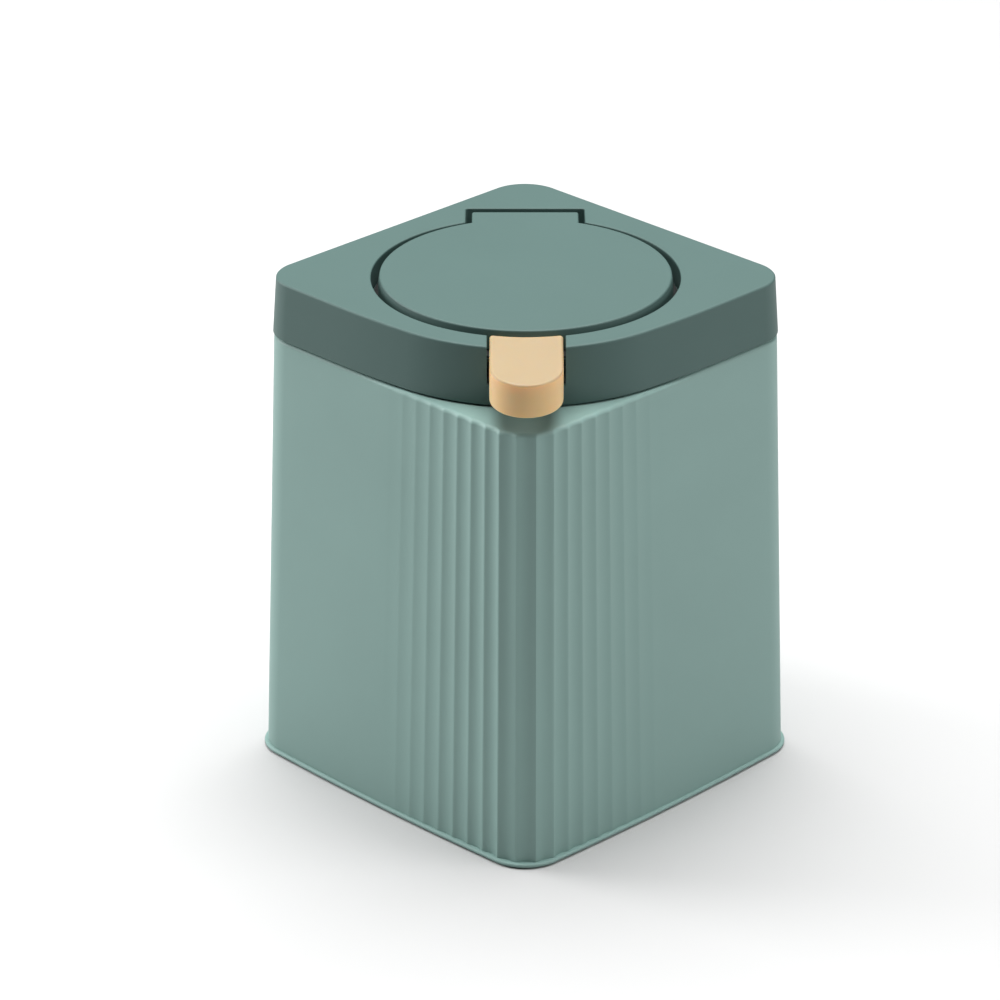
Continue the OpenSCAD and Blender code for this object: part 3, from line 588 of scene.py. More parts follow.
def plain_shell():
    """Up the wall, over the ledge and the neck, and down inside, as one closed skin."""
    rows = []
    top_z = LEDGE_Z - LEDGE_EDGE
    for share in np.linspace(0, 1, 9):
        z = SHELL_Z + (top_z - SHELL_Z) * share
        rows.append(body_row(wall_half(z), BODY_CORNER, BOTTOM_BOW * (1 - share), z, 1.0))
    for a in np.radians([20, 40, 60, 80, 90]):
        inset = LEDGE_EDGE * (1 - math.cos(a))
        z = top_z + LEDGE_EDGE * math.sin(a)
        rows.append(body_row(BODY_TOP_HALF - inset, BODY_CORNER - inset, 0, z, 1.0))
    plain, ways, flutes = body_outline(BODY_TOP_HALF)

    def neck_row(half, z):
        rows.append((matched(plain, half), z, ways, flutes, 0.0))

    neck_in = NECK_HALF - NECK_WALL
    shelf_in = neck_in - SHELF_W
    soft = 0.4
    neck_row(NECK_HALF + soft, LEDGE_Z)
    neck_row(NECK_HALF, LEDGE_Z + soft)
    neck_row(NECK_HALF, NECK_TOP - soft)
    neck_row(NECK_HALF - soft, NECK_TOP)
    neck_row(neck_in + soft, NECK_TOP)
    neck_row(neck_in, NECK_TOP - soft)
    neck_row(neck_in, SHELF_Z)
    neck_row(shelf_in + soft, SHELF_Z)
    neck_row(shelf_in, SHELF_Z - soft)
    neck_row(shelf_in, SHELF_Z - SHELF_T)
    neck_row(NECK_HALF - NECK_STEP, SHELF_Z - SHELF_T)
    neck_row(NECK_HALF - NECK_STEP, LEDGE_Z - SHELF_T)
    inner_r = BODY_CORNER - SHELL_WALL
    rows.append(body_row(BODY_TOP_HALF - SHELL_WALL, inner_r, 0, LEDGE_Z - SHELF_T, 0.0))
    rows.append(body_row(BODY_BOTTOM_HALF - SHELL_WALL, inner_r, BOTTOM_BOW, SHELL_Z, 0.0))
    shell = loft("body_shell_fluted", [(row[0], row[1]) for row in rows], ring_closed=True)
    n = len(plain)
    outward = np.vstack([np.column_stack([row[2], np.zeros(n)]) for row in rows])
    for name, kind, key, values in (
        ("flute", "FLOAT", "value", np.concatenate([row[3] for row in rows])),
        ("press", "FLOAT", "value", np.repeat([row[4] for row in rows], n)),
        ("outward", "FLOAT_VECTOR", "vector", outward),
    ):
        field = shell.data.attributes.new(name, kind, "POINT")
        field.data.foreach_set(key, values.astype(np.float32).ravel())
    return shell


shell = plain_shell()
print("plain shell:", len(shell.data.vertices), "points")

# %% [markdown]
# A tree of Geometry Nodes reads much like a formula. For a point u flutes off the middle of flute
# number k, the bowl is 1 - 4u^2, made soft at the ridges, and the whole is scaled by a share that
# falls from 1 at the corner to 0 at the last flute.

# %% The press, as Geometry Nodes


def new_tree(name, inputs):
    """A Geometry Nodes tree with a geometry input and output, and the named inputs given."""
    tree = bpy.data.node_groups.new(name, "GeometryNodeTree")
    tree.interface.new_socket(name="Geometry", in_out="INPUT", socket_type="NodeSocketGeometry")
    tree.interface.new_socket(name="Geometry", in_out="OUTPUT", socket_type="NodeSocketGeometry")
    for label, kind in inputs.items():
        tree.interface.new_socket(name=label, in_out="INPUT", socket_type=kind)
    return tree, tree.nodes.new("NodeGroupInput"), tree.nodes.new("NodeGroupOutput")


def end_tree(tree, geometry, finish, output):
    """Realize Instances and Set Material, which every tree ends in."""
    real = add_node(tree, "GeometryNodeRealizeInstances", {"Geometry": geometry})
    inputs = {"Geometry": real.outputs[0], "Material": finish}
    last = add_node(tree, "GeometryNodeSetMaterial", inputs)
    tree.links.new(last.outputs[0], output.inputs[0])


def run_tree(piece, tree, values):
    """Puts the tree on a piece, sets its inputs by identifier, and keeps the mesh it makes."""
    modifier = piece.modifiers.new(tree.name, "NODES")
    modifier.node_group = tree
    sockets = {s.name: s.identifier for s in tree.interface.items_tree if s.in_out == "INPUT"}
    for label, value in values.items():
        modifier[sockets[label]] = value
    return settle(piece)


def calc(tree, operation, *values):
    """The result of a Math node, from numbers or from other nodes' outputs."""
    return add_node(tree, "ShaderNodeMath", dict(enumerate(values)), operation=operation).outputs[0]


def flute_press():
    """The tree that moves each point inwards by the depth of its flute."""
    tree, given, output = new_tree("flute_press", {
        "Flute Depth": "NodeSocketFloat",
        "Side Flutes": "NodeSocketFloat",
        "Crest Softness": "NodeSocketFloat",
        "Finish": "NodeSocketMaterial",
    })

    def read(name, kind):
        node = add_node(tree, "GeometryNodeInputNamedAttribute", {"Name": name}, data_type=kind)
        return node.outputs["Attribute"]

    along, press = read("flute", "FLOAT"), read("press", "FLOAT")
    outward = read("outward", "FLOAT_VECTOR")
    number = calc(tree, "ROUND", along)
    off = calc(tree, "SUBTRACT", along, number)
    bowl = calc(tree, "SUBTRACT", 1.0, calc(tree, "MULTIPLY", calc(tree, "MULTIPLY", off, off), 4.0))
    soft = given.outputs["Crest Softness"]
    soft2 = calc(tree, "MULTIPLY", soft, soft)
    bowl2 = calc(tree, "MULTIPLY", bowl, bowl)
    rounded = calc(tree, "SUBTRACT", calc(tree, "SQRT", calc(tree, "ADD", bowl2, soft2)), soft)
    full = calc(tree, "SUBTRACT", calc(tree, "SQRT", calc(tree, "ADD", soft2, 1.0)), soft)
    last = calc(tree, "ADD", given.outputs["Side Flutes"], 0.5)
    share = calc(tree, "SUBTRACT", 1.0, calc(tree, "DIVIDE", calc(tree, "ABSOLUTE", number), last))
    share = calc(tree, "MAXIMUM", share, 0.0)
    dip = calc(tree, "MULTIPLY", share, calc(tree, "DIVIDE", rounded, full))
    dip = calc(tree, "MULTIPLY", calc(tree, "MULTIPLY", dip, press), given.outputs["Flute Depth"])
    inwards = {"Vector": outward, "Scale": calc(tree, "MULTIPLY", dip, -1.0)}
    move = add_node(tree, "ShaderNodeVectorMath", inwards, operation="SCALE")
    pressed = add_node(
        tree,
        "GeometryNodeSetPosition",
        {"Geometry": given.outputs["Geometry"], "Offset": move.outputs["Vector"]},
    )
    end_tree(tree, pressed.outputs[0], given.outputs["Finish"], output)
    return tree


FLUTE_DEPTH = 1.1
CREST_SOFTNESS = 0.1
run_tree(shell, flute_press(), {
    "Flute Depth": FLUTE_DEPTH * MM,
    "Side Flutes": float(SIDE_FLUTES),
    "Crest Softness": CREST_SOFTNESS,
    "Finish": finishes["body_green"],
})
print("pressed shell:", len(shell.data.vertices), "points")

# %% [markdown]
# Under the lid the neck is open at the front, where the latch moves, and inside the shell stand
# four bosses that take the base screws. The cut is a Boolean, and the bosses join the mesh.

# %% Neck opening and screw bosses
EAR_OUT = 19.0
MOUTH_R = 56.5
SCREW_REACH = 93.5
BOSS_PROFILE = ((3.9, 5.8), (4.4, 6.3), (4.4, 21.3), (3.9, 21.8))
gap = rounded_box(-EAR_OUT - 2, EAR_OUT + 2, -150, -MOUTH_R, 1.0)
opening = to_corner(loft("opening", [(gap, LEDGE_Z + 1.2), (gap, NECK_TOP + 5)]))
combine(shell, [opening], "DIFFERENCE")


def join(piece, others):
    """Adds the meshes of other pieces to this one."""
    for other in others:
        bpy.ops.object.select_all(action="DESELECT")
        other.select_set(True)
        piece.select_set(True)
        bpy.context.view_layer.objects.active = piece
        bpy.ops.object.join()
    return piece


bosses = []
for turn in range(4):
    boss = to_corner(turned("boss", BOSS_PROFILE, 40, 0, -SCREW_REACH))
    boss.data.transform(Matrix.Rotation(math.radians(90 * turn), 4, "Z"))
    bosses.append(boss)
join(shell, bosses)
smooth(shell, 40)
dress(shell, "body_green", "body", "body_shell")

# %% [markdown]
# ## The base plate
# Only its thin rounded rim shows. It is a loft round the same bowed outline, a little wider, with a
# half-round edge, and a low wall above it that locates it inside the shell.

# %% Base plate
BASE_Z = 0.5
RIM_T = 1.7
BASE_HALF = 82.5
BASE_CORNER = 17.7
PAD_REACH = 78.0
SPIGOT_PLAY = 0.4
SPIGOT_H = 6.0
SCREW_SEAT = BASE_Z + 2.3
PAD_SEAT = BASE_Z + 0.9


def base_ring(inset, half=BASE_HALF, r=BASE_CORNER):
    """The base's outline, smaller by the inset."""
    return body_outline(half - inset, r - inset, BOTTOM_BOW)[0]


def make_base():
    """The plate with its rim and wall, four screw seats and four seats for the pads."""
    soft = RIM_T / 2
    rings = [(base_ring(3.0), BASE_Z)]
    for a in np.radians([-90, -60, -30, 0, 30, 60, 90]):
        rings.append((base_ring(soft * (1 - math.cos(a))), BASE_Z + soft + soft * math.sin(a)))
    spigot = BODY_BOTTOM_HALF - SHELL_WALL - SPIGOT_PLAY
    spigot_r = BODY_CORNER - SHELL_WALL - SPIGOT_PLAY
    top = SPIGOT_H
    for inset, z in (
        (0, 0), (0, top - 0.4), (0.4, top), (1.6, top), (2, top - 0.4), (2, 0.4), (2.4, 0)
    ):
        rings.append((base_ring(inset, spigot, spigot_r), SHELL_Z + z))
    base = loft("base_plate_rim", rings)
    added, cut = [], []
    for turn in range(4):
        for outline, low, high, group in (
            (circle(5, 0, -SCREW_REACH, 40), SHELL_Z - 0.2, SHELL_Z + 3.6, added),
            (circle(1.5, 0, -SCREW_REACH, 32), 0, 9, cut),
            (circle(3.1, 0, -SCREW_REACH, 40), 0, SCREW_SEAT, cut),
            (circle(8, 0, -PAD_REACH, 48), SHELL_Z - 0.2, SHELL_Z + 1, added),
            (circle(6.2, 0, -PAD_REACH, 48), 0, PAD_SEAT, cut),
        ):
            tool = to_corner(loft("tool", [(outline, low), (outline, high)]))
            tool.data.transform(Matrix.Rotation(math.radians(90 * turn), 4, "Z"))
            group.append(tool)
    combine(base, added, "UNION")
    return smooth(combine(base, cut, "DIFFERENCE"), 40)


dress(make_base(), "body_green", "body", "base_plate")

# %% [markdown]
# ## The lid
# The lid is a shallow box turned over, with a hole, a pocket for the hinge and a slot for the
# button. Every edge of a moulded lid is a little round, and that is what catches the light. So the
# tools that cut the openings are flared at the top like a trumpet: each cut leaves a round edge.

# %% Cutting tools with a flared top
HOLE_R = 61.2
EDGE_SOFT = 0.5


def flared(name, outline_at, low, top, soft=EDGE_SOFT):
    """A cutting tool: straight up to just below the top, then wider by a quarter circle."""
    rings = [(outline_at(0), low)]
    for a in np.radians([0, 18, 36, 54, 72, 90]):
        rings.append((outline_at(soft * (1 - math.cos(a))), top - soft + soft * math.sin(a)))
    rings.append((outline_at(soft), top + 3))
    return loft(name, rings)


def bar(name, x0, x1, y, z, r, steps=48):
    """A round bar along X, in the corner view."""
    ring = circle(r, 0, 0, steps)
    points = [(x, y + p[0], z + p[1]) for x in (x0, x1) for p in ring]
    faces = [(i, (i + 1) % steps, steps + (i + 1) % steps, steps + i) for i in range(steps)]
    faces += [tuple(range(steps - 1, -1, -1)), tuple(range(steps, 2 * steps))]
    return new_piece(name, points, faces)


def disc(name, r, low, high):
    """A disc round the middle of the lid's opening."""
    return turned(name, [(r, low), (r, high)], 160, 0, -HOLE_SHIFT)


def block(name, x0, x1, y0, y1, z0, z1, r=0.3):
    """A block with slightly round upright edges."""
    outline = rounded_box(x0, x1, y0, y1, r, 3)
    return loft(name, [(outline, z0), (outline, z1)])


# %% Lid
SLOT_HALF = 15.1
SLOT_Z = 192.8
LIP_Z = 197.0
LIP_T = 1.6
POCKET_HALF = 24.2
HINGE_Y, HINGE_Z = 60.5, 203.7
POCKET_Y, POCKET_Z = 70.5, 199.1
PIVOT_Y, PIVOT_Z = -66.5, 191.0
LID_EDGE = 0.9
SKIRT_T = 2.2
TOP_T = 2.4
COLLAR_R = 63.0
POCKET_T = 1.6
EAR_R = 2.9
POST_R = 3.2
LINER_Z = 195.1
POST_Z = LINER_Z + 1.6
HINGE_HOLE_R = 1.52
BUTTON_HOLE_R = 1.27
CUT_LOW, CUT_HIGH = 180, 230


def lid_skin():
    """The top and the skirt, with the room inside them."""
    soft = 0.3
    rings = [(lid_outline(lid_half(LID_Z) - soft), LID_Z)]
    rings.append((lid_outline(lid_half(LID_Z)), LID_Z + soft))
    for a in np.radians([0, 18, 36, 54, 72, 90]):
        inset = LID_EDGE * (1 - math.cos(a))
        z = LID_TOP - LID_EDGE + LID_EDGE * math.sin(a)
        rings.append((lid_outline(lid_half(LID_TOP - LID_EDGE) - inset), z))
    inner = [(lid_outline(lid_half(z) - SKIRT_T), z) for z in (LID_Z - 1, LID_TOP - TOP_T)]
    skin = loft("lid_moulded", rings)
    return combine(skin, [loft("room", inner)], "DIFFERENCE")


def lid_insides():
    """What stands under the lid's top: collar, hinge pocket, the button's ears, screw posts."""
    half, buried = POCKET_HALF + POCKET_T, LID_TOP - 0.5
    made = [
        disc("collar", COLLAR_R, LIP_Z, buried),
        block("pocket", -half, half, HINGE_Y - 8, POCKET_Y + POCKET_T, POCKET_Z - POCKET_T, buried),
    ]
    for side in (-1, 1):
        x0, x1 = sorted((side * (SLOT_HALF + 0.3), side * EAR_OUT))
        made.append(bar("ear", x0, x1, PIVOT_Y, PIVOT_Z, EAR_R))
        made.append(block("ear_root", x0, x1, PIVOT_Y - EAR_R, PIVOT_Y + EAR_R, PIVOT_Z, LID_TOP - 1))
    for x, y in LID_SCREWS:
        made.append(turned("post", [(POST_R, POST_Z), (POST_R, LID_TOP - 1)], 32, x, y))
    return [to_corner(piece) for piece in made]


def lid_openings():
    """What is cut out of the lid: hole, mouth, hinge pocket, slot and pin holes."""
    hole = flared("hole", lambda g: circle(HOLE_R + g, 0, -HOLE_SHIFT), LIP_Z + LIP_T, LID_TOP)
    mouth = disc("mouth", MOUTH_R, CUT_LOW, CUT_HIGH)
    pocket = flared(
        "pocket",
        lambda g: rounded_box(-POCKET_HALF - g, POCKET_HALF + g, HINGE_Y - 12, POCKET_Y + g, 0.9 + g),
        POCKET_Z,
        LID_TOP,
    )
    combine(pocket, [disc("inside", HOLE_R - 1, CUT_LOW, CUT_HIGH)], "DIFFERENCE")
    slot = flared(
        "slot",
        lambda g: rounded_box(-SLOT_HALF - g, SLOT_HALF + g, -90, -10, 1.0 + g),
        SLOT_Z,
        LID_TOP,
    )
    combine(slot, [disc("inside", HOLE_R - 0.2, CUT_LOW, CUT_HIGH)], "DIFFERENCE")
    made = [
        hole, mouth, pocket, slot,
        bar("hinge_hole", -30, 30, HINGE_Y, HINGE_Z, HINGE_HOLE_R),
        bar("button_hole", -25, 25, PIVOT_Y, PIVOT_Z, BUTTON_HOLE_R),
    ]
    return [to_corner(piece) for piece in made]


corner_reach = LID_CORNER_CENTRE * math.sqrt(2) + 1.7
front_reach, front_way = 65.8, math.radians(40)
LID_SCREWS = [(0, corner_reach), (-corner_reach, 0), (corner_reach, 0)]
for side in (-1, 1):
    x, y = side * front_reach * math.sin(front_way), front_reach * math.cos(front_way)
    LID_SCREWS.append((x, -HOLE_SHIFT - y))
lid = combine(lid_skin(), lid_insides(), "UNION")
combine(lid, lid_openings(), "DIFFERENCE")
dress(smooth(lid), "lid_green", "lid", "lid_frame")

# %% [markdown]
# ## The flap
# A round disc with a soft edge, hollow underneath, with a square tab at the back. Its top lies a
# millimetre above the lid, which is why its edge shows all round. Two knuckles under the tab turn
# on the pin, and the front wall has a window that the latch reaches into.

# %% Flap
FLAP_R = 58.3
FLAP_Z = 201.1
FLAP_TOP = 209.6
FLAP_EDGE = 0.8
FLAP_LEAN = 0.5
FLAP_LEAN_H = 3.4
FLAP_WALL_R = 56.5
FLAP_ROOF_Z = 207.4
TAB_HALF = 21.6
TAB_Y = 64.0
TAB_Z = 207.1
TAB_EDGE = 0.6
KNUCKLE_IN, KNUCKLE_OUT = 7.5, 21.0
KNUCKLE_R = 3.2
KNUCKLE_BORE = 1.55
WINDOW_HALF = 6.3
WINDOW_Z = (202.6, 206.4)


def flap_profile():
    """Radii and heights of the disc: up inside the wall, over the foot, and round the top edge."""
    soft, r = 0.3, FLAP_WALL_R
    profile = [(r - 0.6, FLAP_ROOF_Z), (r, FLAP_ROOF_Z - 0.6), (r, FLAP_Z + soft)]
    profile += [(r + soft, FLAP_Z), (FLAP_R - soft, FLAP_Z), (FLAP_R, FLAP_Z + soft)]
    profile.append((FLAP_R, FLAP_TOP - FLAP_LEAN_H))
    for a in np.radians(np.linspace(0, 90, 9)):
        inset = FLAP_LEAN + FLAP_EDGE * (1 - math.cos(a))
        profile.append((FLAP_R - inset, FLAP_TOP - FLAP_EDGE * (1 - math.sin(a))))
    return profile


def make_flap():
    """The disc with its tab and knuckles, less the room for pin, spring and latch."""
    flap = turned("flap_disc", flap_profile(), 192, 0, -HOLE_SHIFT)

    def tab_outline(i):
        return rounded_box(-TAB_HALF + i, TAB_HALF - i, HINGE_Y - 12 + i, TAB_Y - i, 1.0 - i)

    tab = [(tab_outline(0), TAB_Z)]
    for a in np.radians([0, 22, 45, 68, 90]):
        height = FLAP_TOP - TAB_EDGE * (1 - math.sin(a))
        tab.append((tab_outline(TAB_EDGE * (1 - math.cos(a))), height))
    added = [loft("tab", tab)]
    cut = [bar("pin_room", -TAB_HALF, TAB_HALF, HINGE_Y, HINGE_Z, KNUCKLE_BORE)]
    for side in (-1, 1):
        x0, x1 = sorted((side * KNUCKLE_IN, side * KNUCKLE_OUT))
        added.append(bar("knuckle", x0, x1, HINGE_Y, HINGE_Z, KNUCKLE_R))
        added.append(block("web", x0, x1, HINGE_Y - 2.9, HINGE_Y + 2.9, HINGE_Z, FLAP_ROOF_Z + 0.1))
    cut.append(block("spring_room", -5.5, 5.5, HINGE_Y - 7, HINGE_Y, HINGE_Z - 1, FLAP_ROOF_Z))
    front, back = -HOLE_SHIFT - FLAP_R - 1, -FLAP_WALL_R + 0.1
    cut.append(block("window", -WINDOW_HALF, WINDOW_HALF, front, back, *WINDOW_Z))
    combine(flap, added, "UNION")
    combine(flap, cut, "DIFFERENCE")
    return smooth(to_corner(flap))


dress(make_flap(), "lid_green", "flap", "flap_panel")

# %% [markdown]
# ## The push button
# The only warm colour on the bin, in the colour of beech wood. It is as thick at the tip as at the
# back and slopes down a little, so its rings are drawn level and then tilted along the slope. Its
# round edges are a millimetre in radius, and its back follows the round opening.

# %% Push button
BUTTON_HALF = 14.1
BUTTON_BACK_R = 62.0
BUTTON_BACK_Y = -HOLE_SHIFT - BUTTON_BACK_R
BUTTON_TIP_Y = BUTTON_BACK_Y - 38.3
BUTTON_SLOPE = math.radians(5.7)
BUTTON_T = 13.5 / math.cos(BUTTON_SLOPE)
BUTTON_RISE = 0.6
BUTTON_EDGE = 1.0
BUTTON_WALL = 2.2
BACK_CORNER = 1.2
NOTCH_HALF = 5.9
NOTCH_Z = (202.5, 205.5)


def button_outline(inset):
    """Round at the tip, straight at the sides, hollowed at the back, smaller by the inset."""
    centre_y = BUTTON_TIP_Y + BUTTON_HALF
    r = max(BACK_CORNER - inset, 0.05)
    x = BUTTON_HALF - max(inset, 0) - r
    back = BUTTON_BACK_R + inset + r
    y = -HOLE_SHIFT - math.sqrt(back**2 - x**2)
    tilt = math.degrees(math.asin(x / back))
    tip = arc(0, centre_y, BUTTON_HALF - inset, 180, 360, 64)
    right = arc(x, y, r, 0, 90 + tilt, 8)
    left = arc(-x, y, r, 90 - tilt, 180, 8)
    sweep = arc(0, -HOLE_SHIFT, back - r, -90 + tilt, -90 - tilt, 24)[1:-1]
    return np.vstack([tip, right, sweep, left])


def button_ring(inset, depth):
    """A ring at a depth below the sloping top."""
    outline = button_outline(inset)
    slope = (outline[:, 1] - BUTTON_BACK_Y) * math.tan(BUTTON_SLOPE)
    return outline, LID_TOP + BUTTON_RISE + slope - depth


def make_button():
    """Down inside the wall, round its foot, and up to the top, with a notch for the lever."""
    rings = [button_ring(BUTTON_WALL + 0.6, BUTTON_WALL)]
    rings.append(button_ring(BUTTON_WALL, BUTTON_WALL + 0.6))
    rings.append(button_ring(BUTTON_WALL, BUTTON_T - 0.3))
    rings.append(button_ring(BUTTON_WALL - 0.3, BUTTON_T))
    rounds = np.radians(np.linspace(0, 90, 7))
    edge = BUTTON_EDGE * 0.8
    for a in rounds[::-1]:
        rings.append(button_ring(edge * (1 - math.cos(a)), BUTTON_T - edge * (1 - math.sin(a))))
    edge = BUTTON_EDGE
    for a in rounds:
        rings.append(button_ring(edge * (1 - math.cos(a)), edge * (1 - math.sin(a))))
    button = loft("button_beech", rings)
    notch = block("notch", -NOTCH_HALF, NOTCH_HALF, BUTTON_BACK_Y - 6, BUTTON_BACK_Y + 4.9, *NOTCH_Z)
    combine(button, [notch], "DIFFERENCE")
    return smooth(to_corner(button), 36)


dress(make_button(), "beech", "button", "push_button")

# %% [markdown]
# ## The inner bucket
# It hangs by its rim inside the neck and lifts out. Its outline is the lid's, smaller, and it
# narrows towards a bottom with a soft edge, so that it slides in and out.

# %% Bucket
BUCKET_Z = 11.2
BUCKET_RIM_Z = 182.6
BUCKET_WALL = 1.6
BUCKET_LOW_HALF = 61.0
BUCKET_LOW_CORNER = 12
BUCKET_PLAY = 0.4


def bucket_foot(first_inset, r, turns):
    """Rings round the soft edge of the bottom, outside or inside the wall."""
    rings = []
    for a in np.radians(turns):
        inset = first_inset + r * (1 - math.cos(a))
        outline = lid_outline(BUCKET_LOW_HALF - inset, BUCKET_LOW_CORNER - inset)
        rings.append((outline, BUCKET_Z + first_inset + r * (1 - math.sin(a))))
    return rings


def make_bucket():
    """Up outside from the bottom, over the rim, and down inside to the bottom again."""
    rim = NECK_HALF - NECK_WALL - BUCKET_PLAY
    top = rim - SHELF_W
    inner = top - BUCKET_WALL
    rings = bucket_foot(0, 3, [90, 70, 50, 30, 10, 0])
    for half, z in (
        (top, 0), (rim - 0.3, 0), (rim, 0.3), (rim, 1.7),
        (rim - 0.3, 2), (inner + 0.5, 2), (inner, 1.5),
    ):
        rings.append((lid_outline(half), BUCKET_RIM_Z + z))
    rings += bucket_foot(BUCKET_WALL, 1.4, [0, 10, 30, 50, 70, 90])
    return smooth(loft("bucket_moulded", rings), 40)


dress(make_bucket(), "bucket_grey", "bucket", "inner_bucket")

# %% [markdown]
# ## Screws and feet
# All screws of a kind are alike, so one screw is made and Geometry Nodes place it on a few points.
# Nobody lines up the crosses of screws, so each is turned by its own angle from a fixed seed.

# %% One screw, and a tree that places copies
FULL_TURN = 6.283


def make_screw(name, d, length, head_d, head_h):
    """A pan head with a cross recess and a shank with ridges, head down, seat at height 0."""
    profile = [(head_d * 0.28, -head_h)]
    for a in np.radians([60, 35, 10]):
        profile.append((head_d * (0.3 + 0.2 * math.cos(a)), -head_h * (0.45 + 0.5 * math.sin(a))))
    profile.append((head_d / 2, 0))
    z = 0.0
    while z < length - d:
        profile += [(d * 0.4, z + 0.05), (d * 0.5, z + 0.3)]
        z += 0.7
    profile += [(d * 0.4, z + 0.05), (d * 0.12, length)]
    w, l = head_d * 0.07, head_d * 0.27
    depth = (-head_h - 1, -head_h * 0.4, 0.02)
    cross = [block("slot", -l, l, -w, w, *depth), block("slot", -w, w, -l, l, *depth)]
    return combine(turned(name, profile, 28), cross, "DIFFERENCE")


def placing_tree():
    """The tree that puts a copy of an object on each point, turned about Z by a random angle."""
    tree, given, output = new_tree("place_copies", {
        "Copy": "NodeSocketObject",
        "Seed": "NodeSocketInt",
        "Finish": "NodeSocketMaterial",
    })
    spots = add_node(tree, "GeometryNodeMeshToPoints", {"Mesh": given.outputs["Geometry"]})
    copy = add_node(tree, "GeometryNodeObjectInfo", {"Object": given.outputs["Copy"]})
    turn = add_node(
        tree,
        "FunctionNodeRandomValue",
        {0: (0.0, 0.0, 0.0), 1: (0.0, 0.0, FULL_TURN), "Seed": given.outputs["Seed"]},
        data_type="FLOAT_VECTOR",
    )
    placed = add_node(tree, "GeometryNodeInstanceOnPoints", {
        "Points": spots.outputs[0],
        "Instance": copy.outputs["Geometry"],
        "Rotation": turn.outputs[0],
    })
    end_tree(tree, placed.outputs[0], given.outputs["Finish"], output)
    return tree


place_copies = placing_tree()
print("tree:", place_copies.name)


def place(name, copy, spots, seed, finish, body, *nodes):
    """Copies of a piece on corner-view spots in millimetres."""
    piece = to_corner(new_piece(name, spots, []))
    run_tree(piece, place_copies, {"Copy": copy, "Seed": seed, "Finish": finishes[finish]})
    bpy.data.objects.remove(copy)
    return dress(smooth(piece, 40), finish, body, *nodes)


# %% Screws
FLAP_SCREW_REACH = 40.0
FLAP_SCREW_Z = 202.3


def four_spots(reach, first, z, cy=0.0):
    """Four spots a quarter turn apart round (0, cy), the first at this angle from +X."""
    ways = np.radians(first + 90 * np.arange(4))
    return [(reach * math.cos(a), cy + reach * math.sin(a), z) for a in ways]


base_screw = make_screw("screw", 2.8, 14, 5.6, 2.0)
base_spots = four_spots(SCREW_REACH, -90, SCREW_SEAT)
place("base_screws_set", base_screw, base_spots, 3, "steel", "body", "base_screws")
lid_screw = make_screw("screw", 2.2, 7.7, 4.4, 1.2)
lid_spots = [(x, y, LINER_Z) for x, y in LID_SCREWS]
place("lid_screws_set", lid_screw, lid_spots, 5, "steel", "lid", "lid_screws")
flap_screw = make_screw("screw", 2.2, 3.3, 4.4, 1.1)
flap_spots = four_spots(FLAP_SCREW_REACH, 45, FLAP_SCREW_Z, -HOLE_SHIFT)
place("flap_screws_set", flap_screw, flap_spots, 7, "steel", "flap", "flap_screws")

# %% Foot pads
PAD_PROFILE = ((3.0, 0.35), (3.4, 0.0), (5.3, 0.0), (5.8, 0.12), (6.0, 0.45), (6.0, PAD_SEAT))
pad = turned("pad", PAD_PROFILE, 48)
pad_spots = four_spots(PAD_REACH, -90, 0)
pad_nodes = ["foot_pad_front", "foot_pad_back", "foot_pad_left", "foot_pad_right"]
place("foot_pads_set", pad, pad_spots, 1, "soft_grey", "body", *pad_nodes)

# %% [markdown]
# ## The two springs
# A torsion spring is one wire: a leg, some turns round the pin, and another leg. The wire's middle
# line is drawn as points, and a tree sweeps a round section along it.

# %% A wire swept along its middle line
WIRE_R = 0.35
WIRE_SIDES = 12
SPRING_PITCH = 1.2


def wire_tree():
    """The tree that sweeps a round section along a line of edges."""
    tree, given, output = new_tree("sweep_wire", {
        "Wire Radius": "NodeSocketFloat",
        "Sides": "NodeSocketInt",
        "Finish": "NodeSocketMaterial",
    })
    line = add_node(tree, "GeometryNodeMeshToCurve", {"Mesh": given.outputs["Geometry"]})
    section = add_node(
        tree,
        "GeometryNodeCurvePrimitiveCircle",
        {"Resolution": given.outputs["Sides"], "Radius": given.outputs["Wire Radius"]},
    )
    swept = add_node(tree, "GeometryNodeCurveToMesh", {
        "Curve": line.outputs[0],
        "Profile Curve": section.outputs[0],
        "Fill Caps": True,
    })
    end_tree(tree, swept.outputs[0], given.outputs["Finish"], output)
    return tree


sweep_wire = wire_tree()
print("tree:", sweep_wire.name)


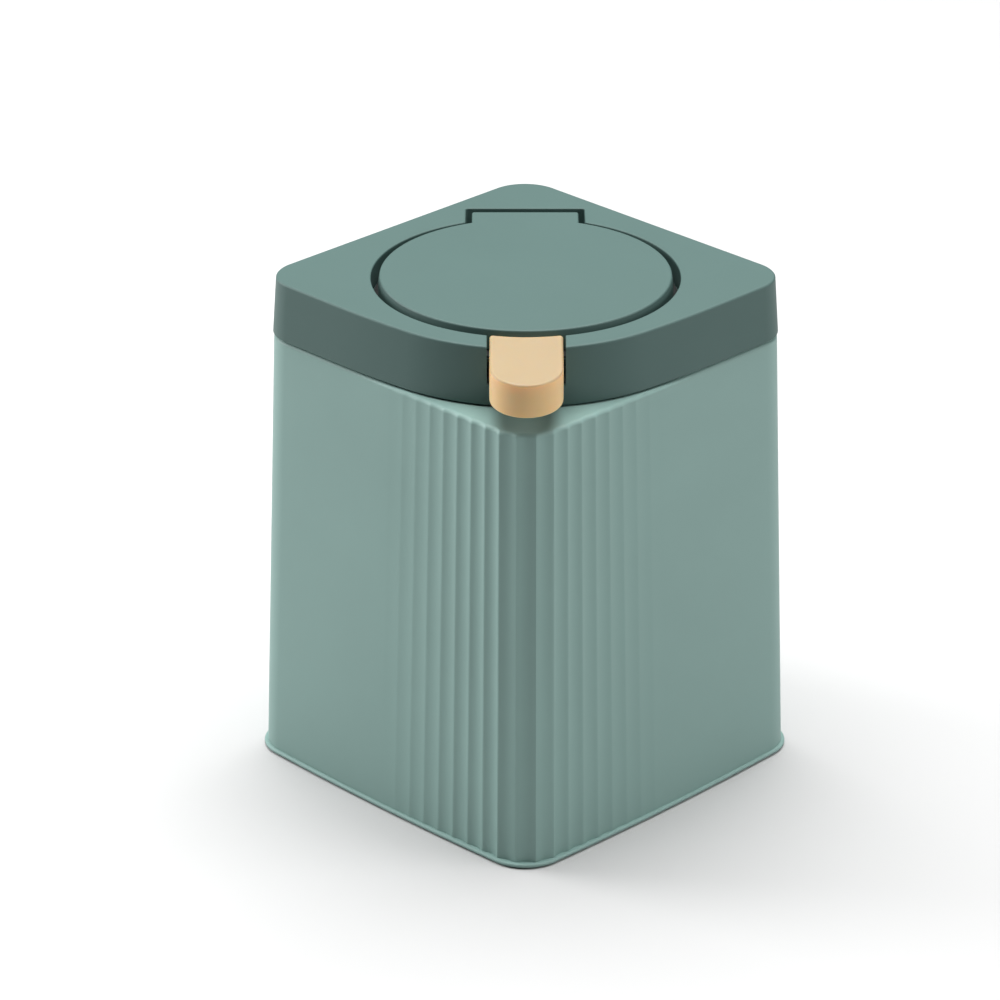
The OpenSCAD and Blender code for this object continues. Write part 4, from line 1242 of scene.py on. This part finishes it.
def coil(turns, r, start, end, steps=28):
    """A coil about the X axis, from one angle to another."""
    count = int(steps * turns + (end - start) / 360 * steps)
    a = np.radians(start + (turns * 360 + end - start) * np.arange(count + 1) / count)
    x = SPRING_PITCH * (np.arange(count + 1) / steps - turns / 2)
    return np.column_stack([x, r * np.cos(a), r * np.sin(a)])


def leg(start, reach, steps=8):
    """Points along a straight leg, without its start."""
    return start + np.outer(np.linspace(0, 1, steps + 1)[1:], reach)


def make_spring(name, turns, r, start, first, last, y, z):
    """A coil with two legs; first and last say how far these reach from its ends."""
    wound = coil(turns, r, start, 90)
    line = np.vstack([leg(wound[0], first)[::-1], wound, leg(wound[-1], last)])
    spring = new_piece(name, line + np.array([0, y, z]), [])
    count = len(line) - 1
    spring.data.edges.add(count)
    spring.data.edges.foreach_set("vertices", [v for i in range(count) for v in (i, i + 1)])
    spring.data.update()
    to_corner(spring)
    values = {"Wire Radius": WIRE_R * MM, "Sides": WIRE_SIDES, "Finish": finishes["steel"]}
    run_tree(spring, sweep_wire, values)
    return spring, wound


def dress_spring(spring, a, b, node):
    """Shades the spring smooth, bakes its place into its mesh, and hides the CAD node it stands for.
    """
    spring.data.shade_smooth()
    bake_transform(spring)
    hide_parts(node)
    print(spring.name, "winds from", a, "to", b)


# %% The springs of the flap and the button
HINGE_COIL_R, BUTTON_COIL_R = 2.25, 2.0
LEG_PLAY = 0.3
down = HINGE_Z - POCKET_Z - LEG_PLAY - WIRE_R
up = FLAP_ROOF_Z - HINGE_Z - HINGE_COIL_R - WIRE_R - LEG_PLAY
spring, wound = make_spring(
    "hinge_spring_wire", 7, HINGE_COIL_R, 0, (0, 0, -down), (0, -9, up), HINGE_Y, HINGE_Z
)
dress_spring(spring, "lid", "flap", "hinge_spring")
up = LINER_Z - PIVOT_Z - BUTTON_COIL_R - WIRE_R - LEG_PLAY
spring, wound = make_spring(
    "button_spring_wire", 6, BUTTON_COIL_R, 90, (0, 7.4, up), (0, -4.6, 0.7), PIVOT_Y, PIVOT_Z
)
dress_spring(spring, "lid", "button", "button_spring")
